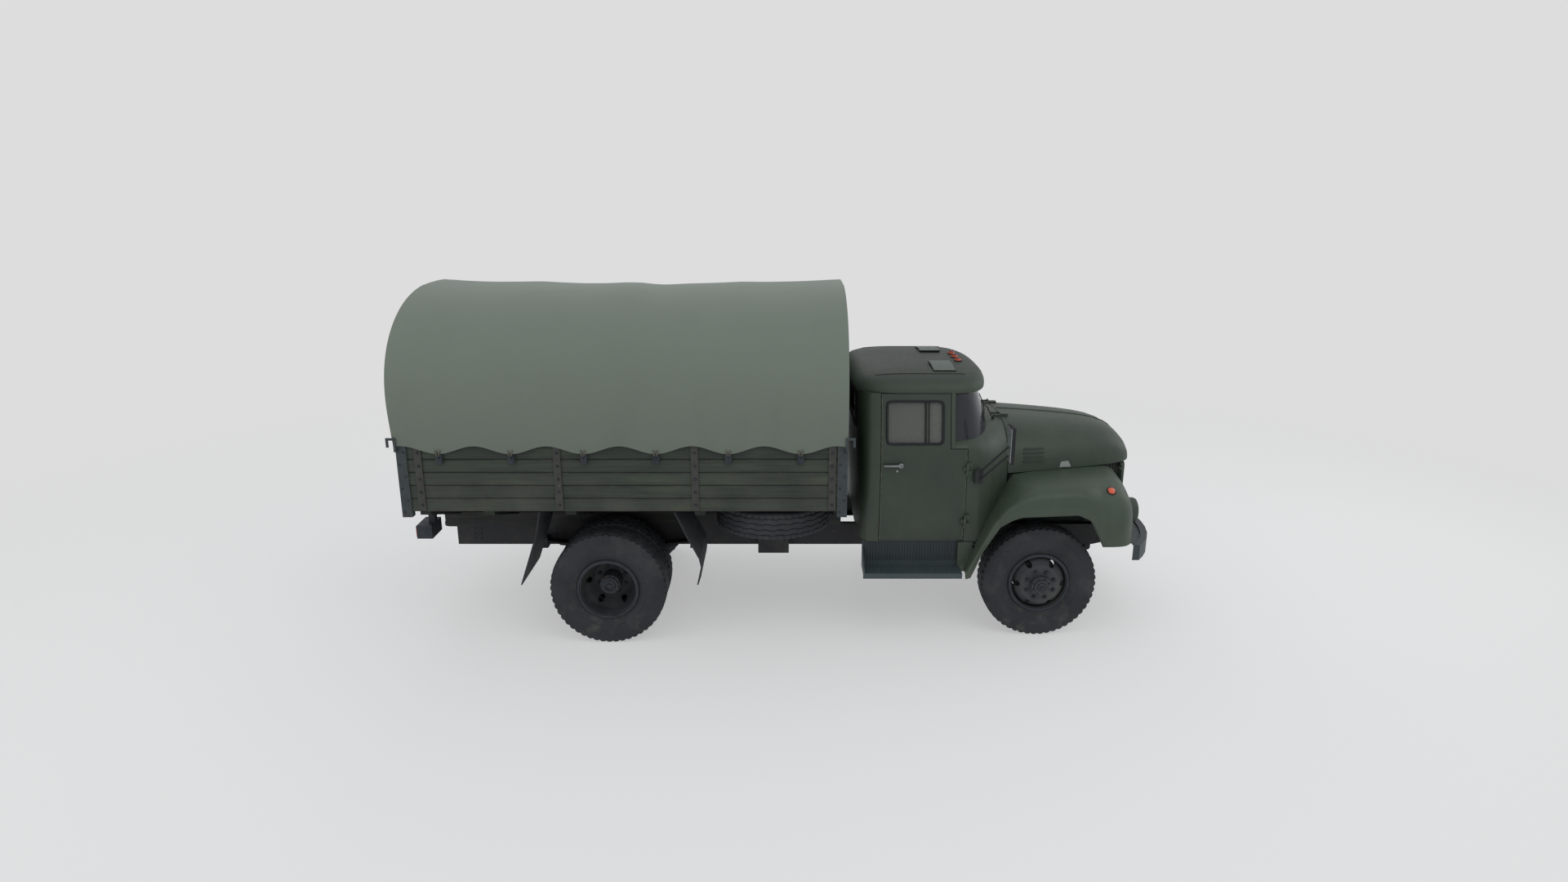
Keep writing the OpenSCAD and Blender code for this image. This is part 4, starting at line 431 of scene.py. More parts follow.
def leather_finish(name, tone):
    """Worn leathercloth with a pebble grain."""
    f = Finish(name)
    pebble = f.node("ShaderNodeTexVoronoi", {"feature": "SMOOTH_F1"}, {"Vector": f.place, "Scale": 210})
    worn = f.noise(5, 4)
    return f.done(
        Base_Color=f.mix(worn.ramp(0.35, 0.7), tinted(tone, 0.8), tinted(tone, 1.3)),
        Roughness=(worn * 0.2 + 0.42), Normal=f.bump(pebble, 0.0014, 0.6),
    )


def core_finish(name, tone):
    """Radiator core: close fins and tubes."""
    f = Finish(name)
    fin = (f.z * 900).sine() * 0.5 + (f.y * 420).sine().size()
    return f.done(
        Base_Color=f.mix(f.noise(6, 4).ramp(0.3, 0.7), tinted(tone, 0.6), tone), Metallic=0.3,
        Roughness=(f.noise(20, 2) * 0.2 + 0.5), Normal=f.bump(fin, 0.003, 0.8),
    )


FINISHES = {}


def mix_finishes():
    """Mixes every finish once from the panel's colours."""
    c = bpy.context.scene.truck_colours
    pick = {key: tuple(getattr(c, key)) for key in TruckColours.__annotations__}
    dust = pick["dust"]
    FINISHES.update(
        cab=paint("cab_green", pick["cab"], dust),
        # Roof: a darker copy of the cab paint is painted shade on the flat top, and the lighter band below
        # the crown is painted light on its sides.
        roof=paint("roof_green", tinted(pick["cab"], 0.56), dust, 0.6, painted_light_below=(2.28, 2.345)),
        # Steps: a darker copy of the iron paint is painted shade on the upright skirts, and the lighter band
        # low down is painted light on the treads.
        step=paint("step_grey_green", tinted(pick["iron"], 0.75), dust, 0.5, 0.4, 0.9, 0.0016, 0.4,
                   painted_light_below=(0.69, 0.71)),
        # Doors: a darker copy of the cab paint, painted shade on the door panels; the rubbed seams are real
        # wear.
        door=paint("door_green", tinted(pick["cab"], 0.84), dust, edges=(DOOR_REAR, DOOR_FRONT)),
        # Fenders: a lighter copy of the cab paint, a painted highlight on the fenders.
        fender=paint("fender_green", tinted(pick["cab"], 1.22), dust),
        bed_iron=strap_finish("bed_iron", pick["iron"], pick["strap"], dust),
        iron=paint("iron_blue_green", pick["iron"], dust, 0.5, 0.5, 1.2, 0.0016, 0.4),
        chassis=chassis_finish("frame_black", pick["chassis"], dust),
        wheel=chassis_finish("wheel_grey", pick["wheel"], dust),
        engine=chassis_finish("engine_iron", srgb(70, 74, 76), dust),
        rubber=rubber_finish("tyre_rubber", pick["rubber"], dust),
        flap=rubber_finish("flap_rubber", tinted(pick["rubber"], 1.1), dust, False),
        seal=rubber_finish("seal_rubber", tinted(pick["rubber"], 0.55), dust, False),
        canvas=canvas_finish("tilt_canvas", pick["canvas"]),
        board=board_finish("bed_boards", pick["board"], dust),
        # Bearers and bed floor: the board finish at a third of its tone, with its dust darkened alike,
        # painted shade under and inside the bed.
        bearer=board_finish("bed_bearers", tinted(pick["board"], 0.3), tinted(dust, 0.3), 0.4, 0.9),
        glass=glass_finish("window_glass", pick["glass"], 0.62),
        screen=glass_finish("screen_glass", pick["screen"], 0.70),
        lamp=lens_finish("marker_orange", pick["lamp"], 700, 0.06),
        red=lens_finish("tail_red", srgb(130, 26, 22), 500, 0.03),
        clear=lens_finish("headlamp_glass", srgb(150, 156, 156), 200),
        steel=metal_finish("worn_steel", srgb(138, 142, 142), 0.42),
        dark_steel=metal_finish("dark_steel", srgb(66, 70, 74), 0.5),
        mirror=metal_finish("mirror_glass", srgb(200, 206, 208), 0.12, 0.1),
        seat=leather_finish("bench_leathercloth", pick["seat"]),
        dash=paint("dash_grey", srgb(58, 62, 60), dust, 0.55, 0, 0.01, 0.001),
        core=core_finish("radiator_core", srgb(44, 44, 46)),
        vent=paint("vent_green", srgb(74, 86, 78), dust, 0.5),
        rope=canvas_finish("tilt_rope", srgb(104, 100, 84)),
        plate=paint("bare_plate", srgb(150, 154, 148), dust, 0.6, 0, 0.01, 0.0008),
    )


NODE_FINISH = {
    "cab": "hood cowl cab_back_wall grille",
    # The fenders' paint is a lighter copy of the cab paint, a painted highlight.
    "fender": "fender_left fender_right",
    # The roof's paint holds painted shade on its top and painted light on its sides.
    "roof": "cab_roof",
    # The doors' paint is a darker copy of the cab paint, painted shade.
    "door": "door_left door_right",
    "iron": "bumper",
    # The steps' paint holds painted shade on the skirts and painted light on the treads.
    "step": "steps",
    "bed_iron": "bed_irons",
    "chassis": "frame tow_coupling front_axle rear_axle springs knuckle_left knuckle_right driveshaft "
    "fuel_tank spare_carrier mirrors tilt_bows",
    "wheel": "wheel_front_left wheel_front_right wheels_rear_left wheels_rear_right spare_wheel",
    "rubber": "tyre_front_left tyre_front_right tyres_rear_left tyres_rear_right spare_tyre",
    "engine": "engine",
    "core": "radiator",
    "dash": "cab_floor dashboard steering_wheel",
    "glass": "door_glass_left door_glass_right",
    "screen": "screens",
    "dark_steel": "lamps",
    "seat": "seat",
    "board": "bed_side_left bed_side_right headboard tailgate",
    # The bearers' and floor's finish is darkened as painted shade.
    "bearer": "bed_floor bed_bearers",
    "canvas": "tilt_cover tilt_ends",
    "flap": "mud_flaps",
}


def shape():
    return bmesh.new()


def settle(name, bm, look, body, bend=0.6, replaces=()):
    """Closes a shape: merges, turns faces outwards, shades it and puts it on its body."""
    bmesh.ops.remove_doubles(bm, verts=bm.verts, dist=1e-5)
    bmesh.ops.recalc_face_normals(bm, faces=bm.faces)
    for face in bm.faces:
        face.smooth = True
    for edge in bm.edges:
        edge.smooth = len(edge.link_faces) == 2 and edge.calc_face_angle(0) < bend
    mesh = bpy.data.meshes.new(name)
    bm.to_mesh(mesh)
    bm.free()
    mesh.materials.append(FINISHES[look])
    piece = bpy.data.objects.new(name, mesh)
    bpy.context.scene.collection.objects.link(piece)
    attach(piece, body)
    if replaces:
        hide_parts(*replaces)
    return piece


def ease(bm, edges, offset, segments=2, clamp=False):
    """Rounds edges."""
    bmesh.ops.bevel(
        bm, geom=edges, offset=offset, offset_type="OFFSET", segments=segments, profile=0.5, affect="EDGES",
        material=-1, clamp_overlap=clamp,
    )


def block(bm, low, high, round_by=0.0, segments=2):
    """A box between two corners, its edges rounded."""
    low, high = Vector(low), Vector(high)
    span = high - low
    place = Matrix.Translation((low + high) / 2) @ Matrix.Diagonal((*span, 1))
    made = bmesh.ops.create_cube(bm, size=1, matrix=place)
    if round_by:
        edges = list({e for v in made["verts"] for e in v.link_edges})
        ease(bm, edges, min(round_by, 0.45 * min(span)), segments, True)


def turn_to(axis):
    return Z.rotation_difference(Vector(axis).normalized()).to_matrix().to_4x4()


def peg(bm, foot, axis, radius, height, sides=16, top=None, dome=0.0):
    """A round or six-sided peg from its foot along an axis, its top edge eased."""
    axis = Vector(axis).normalized()
    place = Matrix.Translation(Vector(foot) + axis * height / 2) @ turn_to(axis)
    made = bmesh.ops.create_cone(
        bm, cap_ends=True, segments=sides, radius1=radius, radius2=radius if top is None else top,
        depth=height, matrix=place,
    )
    if dome:
        tip = Vector(foot) + axis * height
        rim = [e for e in {e for v in made["verts"] for e in v.link_edges}
               if all(((v.co - tip).dot(axis)) > -1e-5 for v in e.verts)]
        ease(bm, rim, dome)


def bolt(bm, foot, axis, radius):
    """A hexagon bolt head on its washer."""
    peg(bm, Vector(foot) - Vector(axis).normalized() * 0.002, axis, radius * 1.25, 0.004, 14)
    peg(bm, foot, axis, radius, radius * 0.85, 6, dome=radius * 0.2)


def rivet(bm, foot, axis, radius):
    """A low round head."""
    peg(bm, Vector(foot) - Vector(axis).normalized() * 0.001, axis, radius, radius * 0.6, 10, radius * 0.62)


def tube(bm, path, radius, sides=10, closed=False):
    """A round bar along a path: one ring, pulled from point to point."""
    path = [Vector(p) for p in path]
    count = len(path)
    rings = []
    for k, spot in enumerate(path):
        ahead = path[(k + 1) % count] if closed or k + 1 < count else spot
        behind = path[k - 1] if closed or k else spot
        along = (ahead - behind).normalized()
        if rings:
            side = (side - along * side.dot(along)).normalized()
        else:
            side = along.orthogonal().normalized()
        up = along.cross(side)
        rings.append([
            bm.verts.new(spot + (side * math.cos(a) + up * math.sin(a)) * radius)
            for a in (2 * math.pi * j / sides for j in range(sides))
        ])
    for k in range(count if closed else count - 1):
        pair = []
        for ring in (rings[k], rings[(k + 1) % count]):
            for j in range(sides):
                a, b = ring[j], ring[(j + 1) % sides]
                pair.append(bm.edges.get((a, b)) or bm.edges.new((a, b)))
        bmesh.ops.bridge_loops(bm, edges=pair)
    if not closed:
        for ring in (rings[0], rings[-1]):
            bm.faces.new(ring)


def turned(bm, outline, centre, axis, steps, closed=True):
    """An outline of (radius, height) points spun round an axis through a centre."""
    place = Matrix.Translation(Vector(centre)) @ turn_to(axis)
    points = [bm.verts.new(place @ Vector((r, 0, h))) for r, h in outline]
    edges = [bm.edges.new(p) for p in zip(points, points[1:])]
    if closed:
        edges.append(bm.edges.new((points[-1], points[0])))
    bmesh.ops.spin(
        bm, geom=points + edges, cent=Vector(centre), axis=Vector(axis).normalized(), angle=2 * math.pi,
        steps=steps, use_merge=True, dvec=(0, 0, 0),
    )


def loft(bm, rings):
    """Skins rings of points in their order, and closes both ends."""
    rows = [[bm.verts.new(p) for p in ring] for ring in rings]
    for a, b in zip(rows, rows[1:]):
        for j in range(len(a)):
            bm.faces.new((a[j], a[j - 1], b[j - 1], b[j]))
    for end in (rows[0], rows[-1]):
        bm.faces.new(end)


def between(points, at):
    """The value at a place along a list of (place, value) points."""
    for (a, low), (b, high) in zip(points, points[1:]):
        if at <= b:
            return low + (high - low) * (at - a) / (b - a)
    return points[-1][1]


def grille_face(y):
    return GRILLE_FACE - GRILLE_ROUND + math.sqrt(GRILLE_ROUND ** 2 - y ** 2)


def mirrored(bm):
    """Adds the same shapes on the other side of the truck."""
    copy = bmesh.ops.duplicate(bm, geom=bm.verts[:] + bm.edges[:] + bm.faces[:])["geom"]
    verts = [g for g in copy if isinstance(g, bmesh.types.BMVert)]
    bmesh.ops.scale(bm, vec=(1, -1, 1), verts=verts)
    bmesh.ops.reverse_faces(bm, faces=[g for g in copy if isinstance(g, bmesh.types.BMFace)])


TREES = {}


def touched(node, start, aim):
    """Where a line from start meets a CAD node and the face's normal, both None where it misses."""
    if node not in TREES:
        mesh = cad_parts[node].data
        TREES[node] = BVHTree.FromPolygons([v.co for v in mesh.vertices], [p.vertices for p in mesh.polygons])
    return TREES[node].ray_cast(Vector(start), Vector(aim))[:2]


def struck(node, start, aim):
    """Where a line from start must meet a CAD node, and the way out of the face there."""
    hit, normal = touched(node, start, aim)
    if hit is None:
        raise RuntimeError(f"no face of {node} from {start}")
    return hit, -normal if normal.dot(Vector(aim)) > 0 else normal


def from_above(node, x, y):
    return struck(node, (x, y, 5), (0, 0, -1))


def inwards(x, z, side):
    """A line from beside the truck towards its middle: where it starts and the way it runs."""
    return (x, side * 3, z), (0, -side, 0)


def from_side(node, x, z, side):
    return struck(node, *inwards(x, z, side))


def aimed(name, data, spot, at):
    """Adds a camera or a light that looks at a point."""
    made = bpy.data.objects.new(name, data)
    made.location = spot
    made.rotation_euler = (Vector(at) - made.location).to_track_quat("-Z", "Y").to_euler()
    bpy.context.scene.collection.objects.link(made)
    return made


class TRUCK_OT_stage(bpy.types.Operator):
    """Sets the camera, the soft lights and the pale floor."""

    bl_idname = "truck.stage"
    bl_label = "Stage"

    def execute(self, context):
        scene = context.scene
        scene.view_settings.view_transform = "Standard"
        lens = bpy.data.cameras.new("photo_view")
        lens.lens, lens.sensor_width, lens.clip_end = LENS, SENSOR, 200
        scene.camera = aimed("photo_view", lens, EYE, EYE_AIM)
        for name, spot, power, width in LIGHTS:
            light = bpy.data.lights.new(name, "AREA")
            light.energy, light.size = power, width
            aimed(name, light, spot, LIGHT_AIM)
        pale = tuple(scene.truck_colours.floor)
        self.sky(scene, pale)
        self.floor(scene, pale)
        return {"FINISHED"}

    def sky(self, scene, pale):
        """Soft light from all round, behind it the pale background that the camera sees."""
        scene.world = bpy.data.worlds.new("studio")
        scene.world.use_nodes = True
        around = Nodes(scene.world.node_tree)
        seen = around.node("ShaderNodeLightPath", {}, {}, "Is Camera Ray")
        through = around.node("ShaderNodeLightPath", {}, {}, "Is Transmission Ray")
        lit = around.node("ShaderNodeBackground", {}, {"Color": SKY_TONE, "Strength": SKY_STRENGTH})
        shown = around.node("ShaderNodeBackground", {}, {"Color": pale})
        both = around.node("ShaderNodeMixShader", {}, {0: seen.over(through), 1: lit, 2: shown})
        around.node("ShaderNodeOutputWorld", {}, {"Surface": both})

    def floor(self, scene, pale):
        """A round floor that fades away into the background."""
        bm = shape()
        bmesh.ops.create_circle(bm, cap_ends=True, segments=96, radius=FLOOR_RADIUS)
        mesh = bpy.data.meshes.new("studio_floor")
        bm.to_mesh(mesh)
        bm.free()
        floor = bpy.data.objects.new("studio_floor", mesh)
        scene.collection.objects.link(floor)
        f = Finish("studio_floor")
        far = ((f.x * f.x + f.y * f.y) ** 0.5).ramp(4.5, 12, 0.55, 1)
        matt = f.node("ShaderNodeBsdfDiffuse", {}, {"Color": tinted(pale, 1.22)})
        away = f.node("ShaderNodeBsdfTransparent", {}, {})
        faded = f.node("ShaderNodeMixShader", {}, {0: far, 1: matt, 2: away})
        mesh.materials.append(f.surface(faded))


class TRUCK_OT_finishes(bpy.types.Operator):
    """Gives every carried-over solid its finish, and smooths the pressed panels."""

    bl_idname = "truck.finishes"
    bl_label = "Finishes"

    def execute(self, context):
        mix_finishes()
        for look, names in NODE_FINISH.items():
            for name in names.split():
                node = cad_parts[name]
                node.data.materials.clear()
                node.data.materials.append(FINISHES[look])
        for name in "hood fender_left fender_right cowl cab_roof cab_back_wall screens rear_axle".split():
            bm = shape()
            bm.from_mesh(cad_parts[name].data)
            look = next(look for look, names in NODE_FINISH.items() if name in names.split())
            body = "hood" if name == "hood" else "chassis"
            settle(f"{name}_panel", bm, look, body, 0.65, (name,))
        return {"FINISHED"}


class TRUCK_OT_tyres(bpy.types.Operator):
    """Spins the tyres, with ribs, shoulder lugs and sidewall rings."""

    bl_idname = "truck.tyres"
    bl_label = "Tyres"

    def execute(self, context):
        sizes = context.scene.truck_sizes
        places = {}
        for side, word in SIDES:
            single = [(FRONT_AXLE, side * FRONT_HUB, AXLE_HIGH)]
            places[f"tyre_front_{word}"] = (f"wheel_front_{word}", single)
        for side, word in SIDES:
            twins = [(REAR_AXLE, side * y, AXLE_HIGH) for y in REAR_TWINS]
            places[f"tyres_rear_{word}"] = (f"wheels_rear_{word}", twins)
        places["spare_tyre"] = ("chassis", [SPARE])
        for node, (body, spots) in places.items():
            bm = shape()
            for spot in spots:
                self.tyre(bm, spot, Z if body == "chassis" else Y, sizes)
            settle(f"{node}_dressed", bm, "rubber", body, 0.5, (node,))
        return {"FINISHED"}

    def tyre(self, bm, spot, axis, sizes):
        """One tyre: a spun section, then its lugs cut and its tread waved point by point."""
        part = shape()
        half, rise = sizes.tyre_width / 2, sizes.tyre_radius - sizes.rim_radius
        wall = [(0.0, 0.74), (0.07, 0.745), (0.10, 0.79), (0.14, 0.80), (0.16, 0.825), (0.30, 0.945),
                (0.33, 0.965), (0.35, 0.95), (0.37, 0.972), (0.47, 0.998), (0.60, 0.99), (0.66, 0.98),
                (0.68, 0.96), (0.70, 0.968), (0.82, 0.925), (0.90, 0.885), (0.955, 0.855)]
        crown = [(0.985, 0.80), (0.99, 0.60), (0.955, 0.575), (0.955, 0.525), (0.995, 0.50), (0.998, 0.235),
                 (0.962, 0.215), (0.962, 0.165), (1.0, 0.14)]
        side = [(sizes.rim_radius + a * rise, b * half) for a, b in wall + crown]
        outline = side + [(r, -h) for r, h in reversed(side)]
        inner = [(0.88, -0.3), (0.72, -0.79), (0.32, -0.80), (0.0, -0.56)]
        outline += [(sizes.rim_radius + a * rise, b * half) for a, b in inner]
        outline += [(sizes.rim_radius + a * rise, -b * half) for a, b in reversed(inner)]
        steps = 156
        turned(part, outline, (0, 0, 0), Z, steps)
        bmesh.ops.remove_doubles(part, verts=part.verts, dist=1e-5)
        for v in part.verts:
            r = math.hypot(v.co.x, v.co.y)
            count = round(math.atan2(v.co.y, v.co.x) / (2 * math.pi) * steps) + (0 if v.co.z > 0 else 1)
            share, across = (r - sizes.rim_radius) / rise, abs(v.co.z) / half
            cut = 0.0
            if share > 0.87 and across > 0.55 and count % 3 == 0:
                cut = sizes.lug_depth
            elif share > 0.98 and across <= 0.55:
                v.co.z += 0.005 * (1 if count % 6 < 3 else -1)
            v.co.xy *= (r - cut) / r
        bmesh.ops.transform(part, matrix=Matrix.Translation(spot) @ turn_to(axis), verts=part.verts)
        mesh = bpy.data.meshes.new("tyre")
        part.to_mesh(mesh)
        part.free()
        bm.from_mesh(mesh)
        bpy.data.meshes.remove(mesh)


def held(value):
    """A value kept between nought and one."""
    return max(0.0, min(1.0, value))


def arch_half(z):
    """Half width of the tilt at a height."""
    return TILT_HALF * (1 - held((z - SPRING) / (CROWN - SPRING)) ** 2.5) ** 0.4


def scallop(x):
    """How far the hem is lifted between two hooks, from nought to one."""
    return 0.5 - 0.5 * math.cos(2 * math.pi * (x - HOOKS[0]) / HOOK_PITCH)


def bulge_share(z):
    """The share of the rear bulge at a height."""
    return math.sin(math.pi * held((z - BULGE_LOW) / (CROWN - BULGE_LOW)))


class TRUCK_OT_tilt(bpy.types.Operator):
    """Hangs the canvas tilt over its bows, with its two end walls."""

    bl_idname = "truck.tilt"
    bl_label = "Tilt"
    areas = {}

    def execute(self, context):
        sizes = context.scene.truck_sizes
        cover = self.cover(sizes)
        ends = [self.end(sizes, BED_REAR, -1, CURTAIN_LOW, "tilt_curtain"),
                self.end(sizes, BED_FRONT, 1, FRONT_WALL_LOW, "tilt_front")]
        for piece in [cover] + ends:
            thick = piece.modifiers.new("cloth", "SOLIDIFY")
            thick.thickness, thick.offset = sizes.canvas, -1
        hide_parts("tilt_cover")
        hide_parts("tilt_ends")
        return {"FINISHED"}

    def cover(self, sizes):
        """A grid laid over the arch by length, sagging between the bows and scalloped at its hem."""
        bm = shape()
        bmesh.ops.create_grid(bm, x_segments=150, y_segments=110, size=0.5)
        angles = [math.pi * (1 - k / 400) for k in range(401)]
        turns = [(math.cos(a), math.sin(a)) for a in angles]
        ring = [(TILT_HALF * math.copysign(abs(c) ** 0.8, c), s ** 0.8) for c, s in turns]

        def point(u, across):
            x = BED_REAR + u * (BED_FRONT - BED_REAR)
            sag = 0.030 * math.sin(math.pi * u) + 0.014 * math.exp(-((u - 0.545) / 0.05) ** 2)
            sag -= 0.006 * math.exp(-((u - 0.465) / 0.06) ** 2)
            hem = HEM_LOW + HEM_RISE * scallop(x)
            arch = [(y, SPRING + (CROWN - SPRING - sag) * h) for y, h in ring]
            line = [(-TILT_HALF, hem)] + arch + [(TILT_HALF, hem)]
            run = [0.0]
            for a, b in zip(line, line[1:]):
                run.append(run[-1] + math.hypot(b[0] - a[0], b[1] - a[1]))
            goal = across * run[-1]
            k = next((i for i in range(1, len(run)) if run[i] >= goal - 1e-9), len(run) - 1)
            share = (goal - run[k - 1]) / max(1e-9, run[k] - run[k - 1])
            y = line[k - 1][0] + (line[k][0] - line[k - 1][0]) * share
            z = line[k - 1][1] + (line[k][1] - line[k - 1][1]) * share
            return Vector((x, y, z)), run[-1]

        girths = []
        for v in bm.verts:
            u, across = v.co.x + 0.5, v.co.y + 0.5
            spot, girth = point(u, across)
            girths.append(girth)
            out = Vector((0, spot.y, max(0.0, spot.z - SPRING) * 1.2)).normalized()
            soft = noise.noise(Vector((spot.x * 1.3, spot.y * 1.1, spot.z * 0.9)))
            fold = noise.noise(Vector((spot.x * 7, 3.7, spot.z * 0.8)))
            low = held((2.25 - spot.z) / 0.4)
            bows = abs(math.sin(math.pi * 4 * u))
            depth = sizes.fold * (0.6 * soft + 0.35 * fold * (0.3 + low))
            depth += low * 0.004 * scallop(spot.x) - 0.010 * bows * (1 - low)
            edge = min(u, 1 - u) * (BED_FRONT - BED_REAR)
            spot += out * (min(depth, 0.006) * min(1.0, edge / 0.15) - 0.002)
            if u < 0.12:
                spot.x -= sizes.bulge * bulge_share(spot.z) * (1 - u / 0.12) ** 2
            v.co = spot
        self.girth = sum(girths) / len(girths)
        return settle("tilt_cover_cloth", bm, "canvas", "chassis", 1.2)

    def end(self, sizes, x, side, low, name):
        """One end wall, filled to the arch; the rear one stands out with the cover's bulge."""
        bm = shape()
        bmesh.ops.create_grid(bm, x_segments=60, y_segments=60, size=0.5)
        for v in bm.verts:
            across, up = 2 * v.co.x, v.co.y + 0.5
            z = low + (CROWN - 0.008 - low) * (1 - (1 - up) ** 1.6)
            y = across * (arch_half(z) - 0.004)
            belly = (1 - across * across) * math.sin(math.pi * min(1.0, up * 1.02))
            fold = noise.noise(Vector((y * 4.2, x, z * 0.9)))
            seat = sizes.bulge * bulge_share(z) if side < 0 else 0
            out = seat + (0.016 * belly + 0.007 * fold * (1 - abs(across) ** 3)) * (1 if side < 0 else 0.4)
            v.co = Vector((x + side * (0.002 + out), y, z))
        piece = settle(name, bm, "canvas", "chassis", 1.2)
        self.areas[name] = sum(p.area for p in piece.data.polygons)
        return piece


class TRUCK_OT_wheel_fittings(bpy.types.Operator):
    """Adds wheel nuts, hub bolts, lock rings and valves."""

    bl_idname = "truck.wheel_fittings"
    bl_label = "Wheel fittings"

    def execute(self, context):
        for side, word in SIDES:
            out = Vector((0, side, 0))
            bm = shape()
            hub = Vector((FRONT_AXLE, side * FRONT_HUB, AXLE_HIGH))
            self.nuts(bm, hub + out * 0.155, out, 0.126, 8, 0.017)
            self.nuts(bm, hub + out * 0.199, out, 0.073, 8, 0.007)
            self.ring(bm, hub + out * 0.108, out)
            peg(bm, hub + out * 0.2166, out, 0.042, 0.012, 24, dome=0.006)
            peg(bm, hub + out * 0.228, out, 0.015, 0.010, 6, dome=0.003)
            settle(f"front_hub_fittings_{word}", bm, "dark_steel", f"wheel_front_{word}", 0.5)
            bm = shape()
            hub = Vector((REAR_AXLE, side * REAR_HUB, AXLE_HIGH))
            self.nuts(bm, hub + out * 0.010, out, 0.126, 8, 0.019)
            self.nuts(bm, hub + out * 0.155, out, 0.079, 10, 0.007)
            self.ring(bm, hub + out * 0.263, out)
            turned(bm, [(0.040, 0.1814), (0.052, 0.184), (0.056, 0.190), (0.050, 0.197), (0.040, 0.199)],
                   hub, out, 32)
            peg(bm, hub + out * 0.1814, out, 0.020, 0.012, 6, dome=0.003)
            settle(f"rear_hub_fittings_{word}", bm, "dark_steel", f"wheels_rear_{word}", 0.5)
        return {"FINISHED"}

    def nuts(self, bm, centre, out, radius, count, big):
        for k in range(count):
            a = 2 * math.pi * (k + 0.5) / count
            spot = centre + Vector((math.cos(a), 0, math.sin(a))) * radius
            bolt(bm, spot, out, big)
            peg(bm, spot + out * big * 0.8, out, big * 0.5, big * 0.6, 10, dome=big * 0.1)

    def ring(self, bm, centre, out):
        """The split lock ring that holds the tyre on."""
        turned(bm, [(0.246, -0.004), (0.268, -0.004), (0.273, 0.002), (0.268, 0.009), (0.250, 0.009)],
               centre, out, 72)
        valve = centre + Vector((0.6, 0, 0.8)) * 0.225
        peg(bm, valve - out * 0.02, out, 0.006, 0.045, 10, dome=0.002)


def border_loop(node, test):
    """The outer border of a thin CAD sheet, traced along its sharp edges."""
    bm = shape()
    bm.from_mesh(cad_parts[node].data)
    bmesh.ops.remove_doubles(bm, verts=bm.verts, dist=1e-5)
    sharp = [e for e in bm.edges if len(e.link_faces) == 2 and e.calc_face_angle(0) > 0.9
             and all(test(v.co) for v in e.verts)]
    bm.verts.index_update()
    bm.verts.ensure_lookup_table()
    links = {}
    for e in sharp:
        for a, b in (tuple(e.verts), tuple(e.verts)[::-1]):
            links.setdefault(a.index, []).append(b.index)
    start = max(links, key=lambda i: bm.verts[i].co.length) if links else None
    path, seen, now = [], set(), start
    while now is not None and now not in seen:
        seen.add(now)
        path.append(bm.verts[now].co.copy())
        now = next((k for k in links[now] if k not in seen), None)
    bm.free()
    return path


def soft_loop(corners, round_by, steps=5):
    """A closed path through corner points, each corner eased."""
    corners = [Vector(c) for c in corners]
    path = []
    for k, spot in enumerate(corners):
        before = (corners[k - 1] - spot).normalized() * round_by
        after = (corners[(k + 1) % len(corners)] - spot).normalized() * round_by
        for j in range(steps + 1):
            t = j / steps
            path.append(spot + before * (1 - t) ** 2 + after * t ** 2)
    return path


def wall_half(z):
    """Half width of the cab's side above the belt."""
    return WALL_HALF - (z - BELT) * WALL_LEAN


def four(first, last, low, top):
    """The corners of an upright oblong."""
    return ((first, low), (last, low), (last, top), (first, top))


class TRUCK_OT_cab_rubbers(bpy.types.Operator):
    """Fits the window rubbers, quarter light bars and wipers."""

    bl_idname = "truck.cab_rubbers"
    bl_label = "Window rubbers"

    def execute(self, context):
        r = context.scene.truck_sizes.seal
        for side, word in SIDES:
            bm = shape()
            corners = [(x, side * (wall_half(z) + 0.001), z) for x, z in
                       four(WINDOW_REAR, WINDOW_FRONT, WINDOW_LOW, WINDOW_TOP)]
            tube(bm, soft_loop(corners, 0.045), r, 8, True)
            for x in QUARTER_BARS:
                tube(bm, [(x, side * (wall_half(z) - 0.004), z) for z in (1.785, 1.96, 2.133)], 0.007, 8)
            settle(f"door_rubber_{word}", bm, "seal", f"door_{word}", 0.8)
        bm = shape()
        tube(bm, border_loop("screens", lambda p: p.x > 1.3), r * 1.3, 8, True)
        loop = [(REAR_WINDOW, y, z) for y, z in
                four(-REAR_WINDOW_HALF, REAR_WINDOW_HALF, REAR_WINDOW_LOW, REAR_WINDOW_TOP)]
        tube(bm, soft_loop(loop, 0.06), r, 8, True)
        settle("screen_rubber", bm, "seal", "chassis", 0.8)
        bm = shape()
        for y in (0.42, -0.38):
            foot, _ = struck("screens", (3, y, 1.93), (-1, 0, 0))
            pivot, _ = from_above("cowl", foot.x + 0.09, y)
            peg(bm, pivot - Z * 0.004, Z, 0.014, 0.022, 14, dome=0.005)
            blade = []
            for k in range(7):
                spot, out = struck("screens", (3, y - 0.30 + 0.075 * k, 1.945 + 0.018 * k), (-1, 0, 0))
                blade.append(spot + out * 0.012)
            tube(bm, blade, 0.005, 6)
            bend = blade[3] + (pivot - blade[3]) * 0.4 + Z * 0.03
            tube(bm, [pivot + Z * 0.016, pivot + Z * 0.03 - X * 0.02, bend, blade[3] + X * 0.006], 0.005, 6)
        settle("wipers", bm, "seal", "chassis", 0.8)
        return {"FINISHED"}


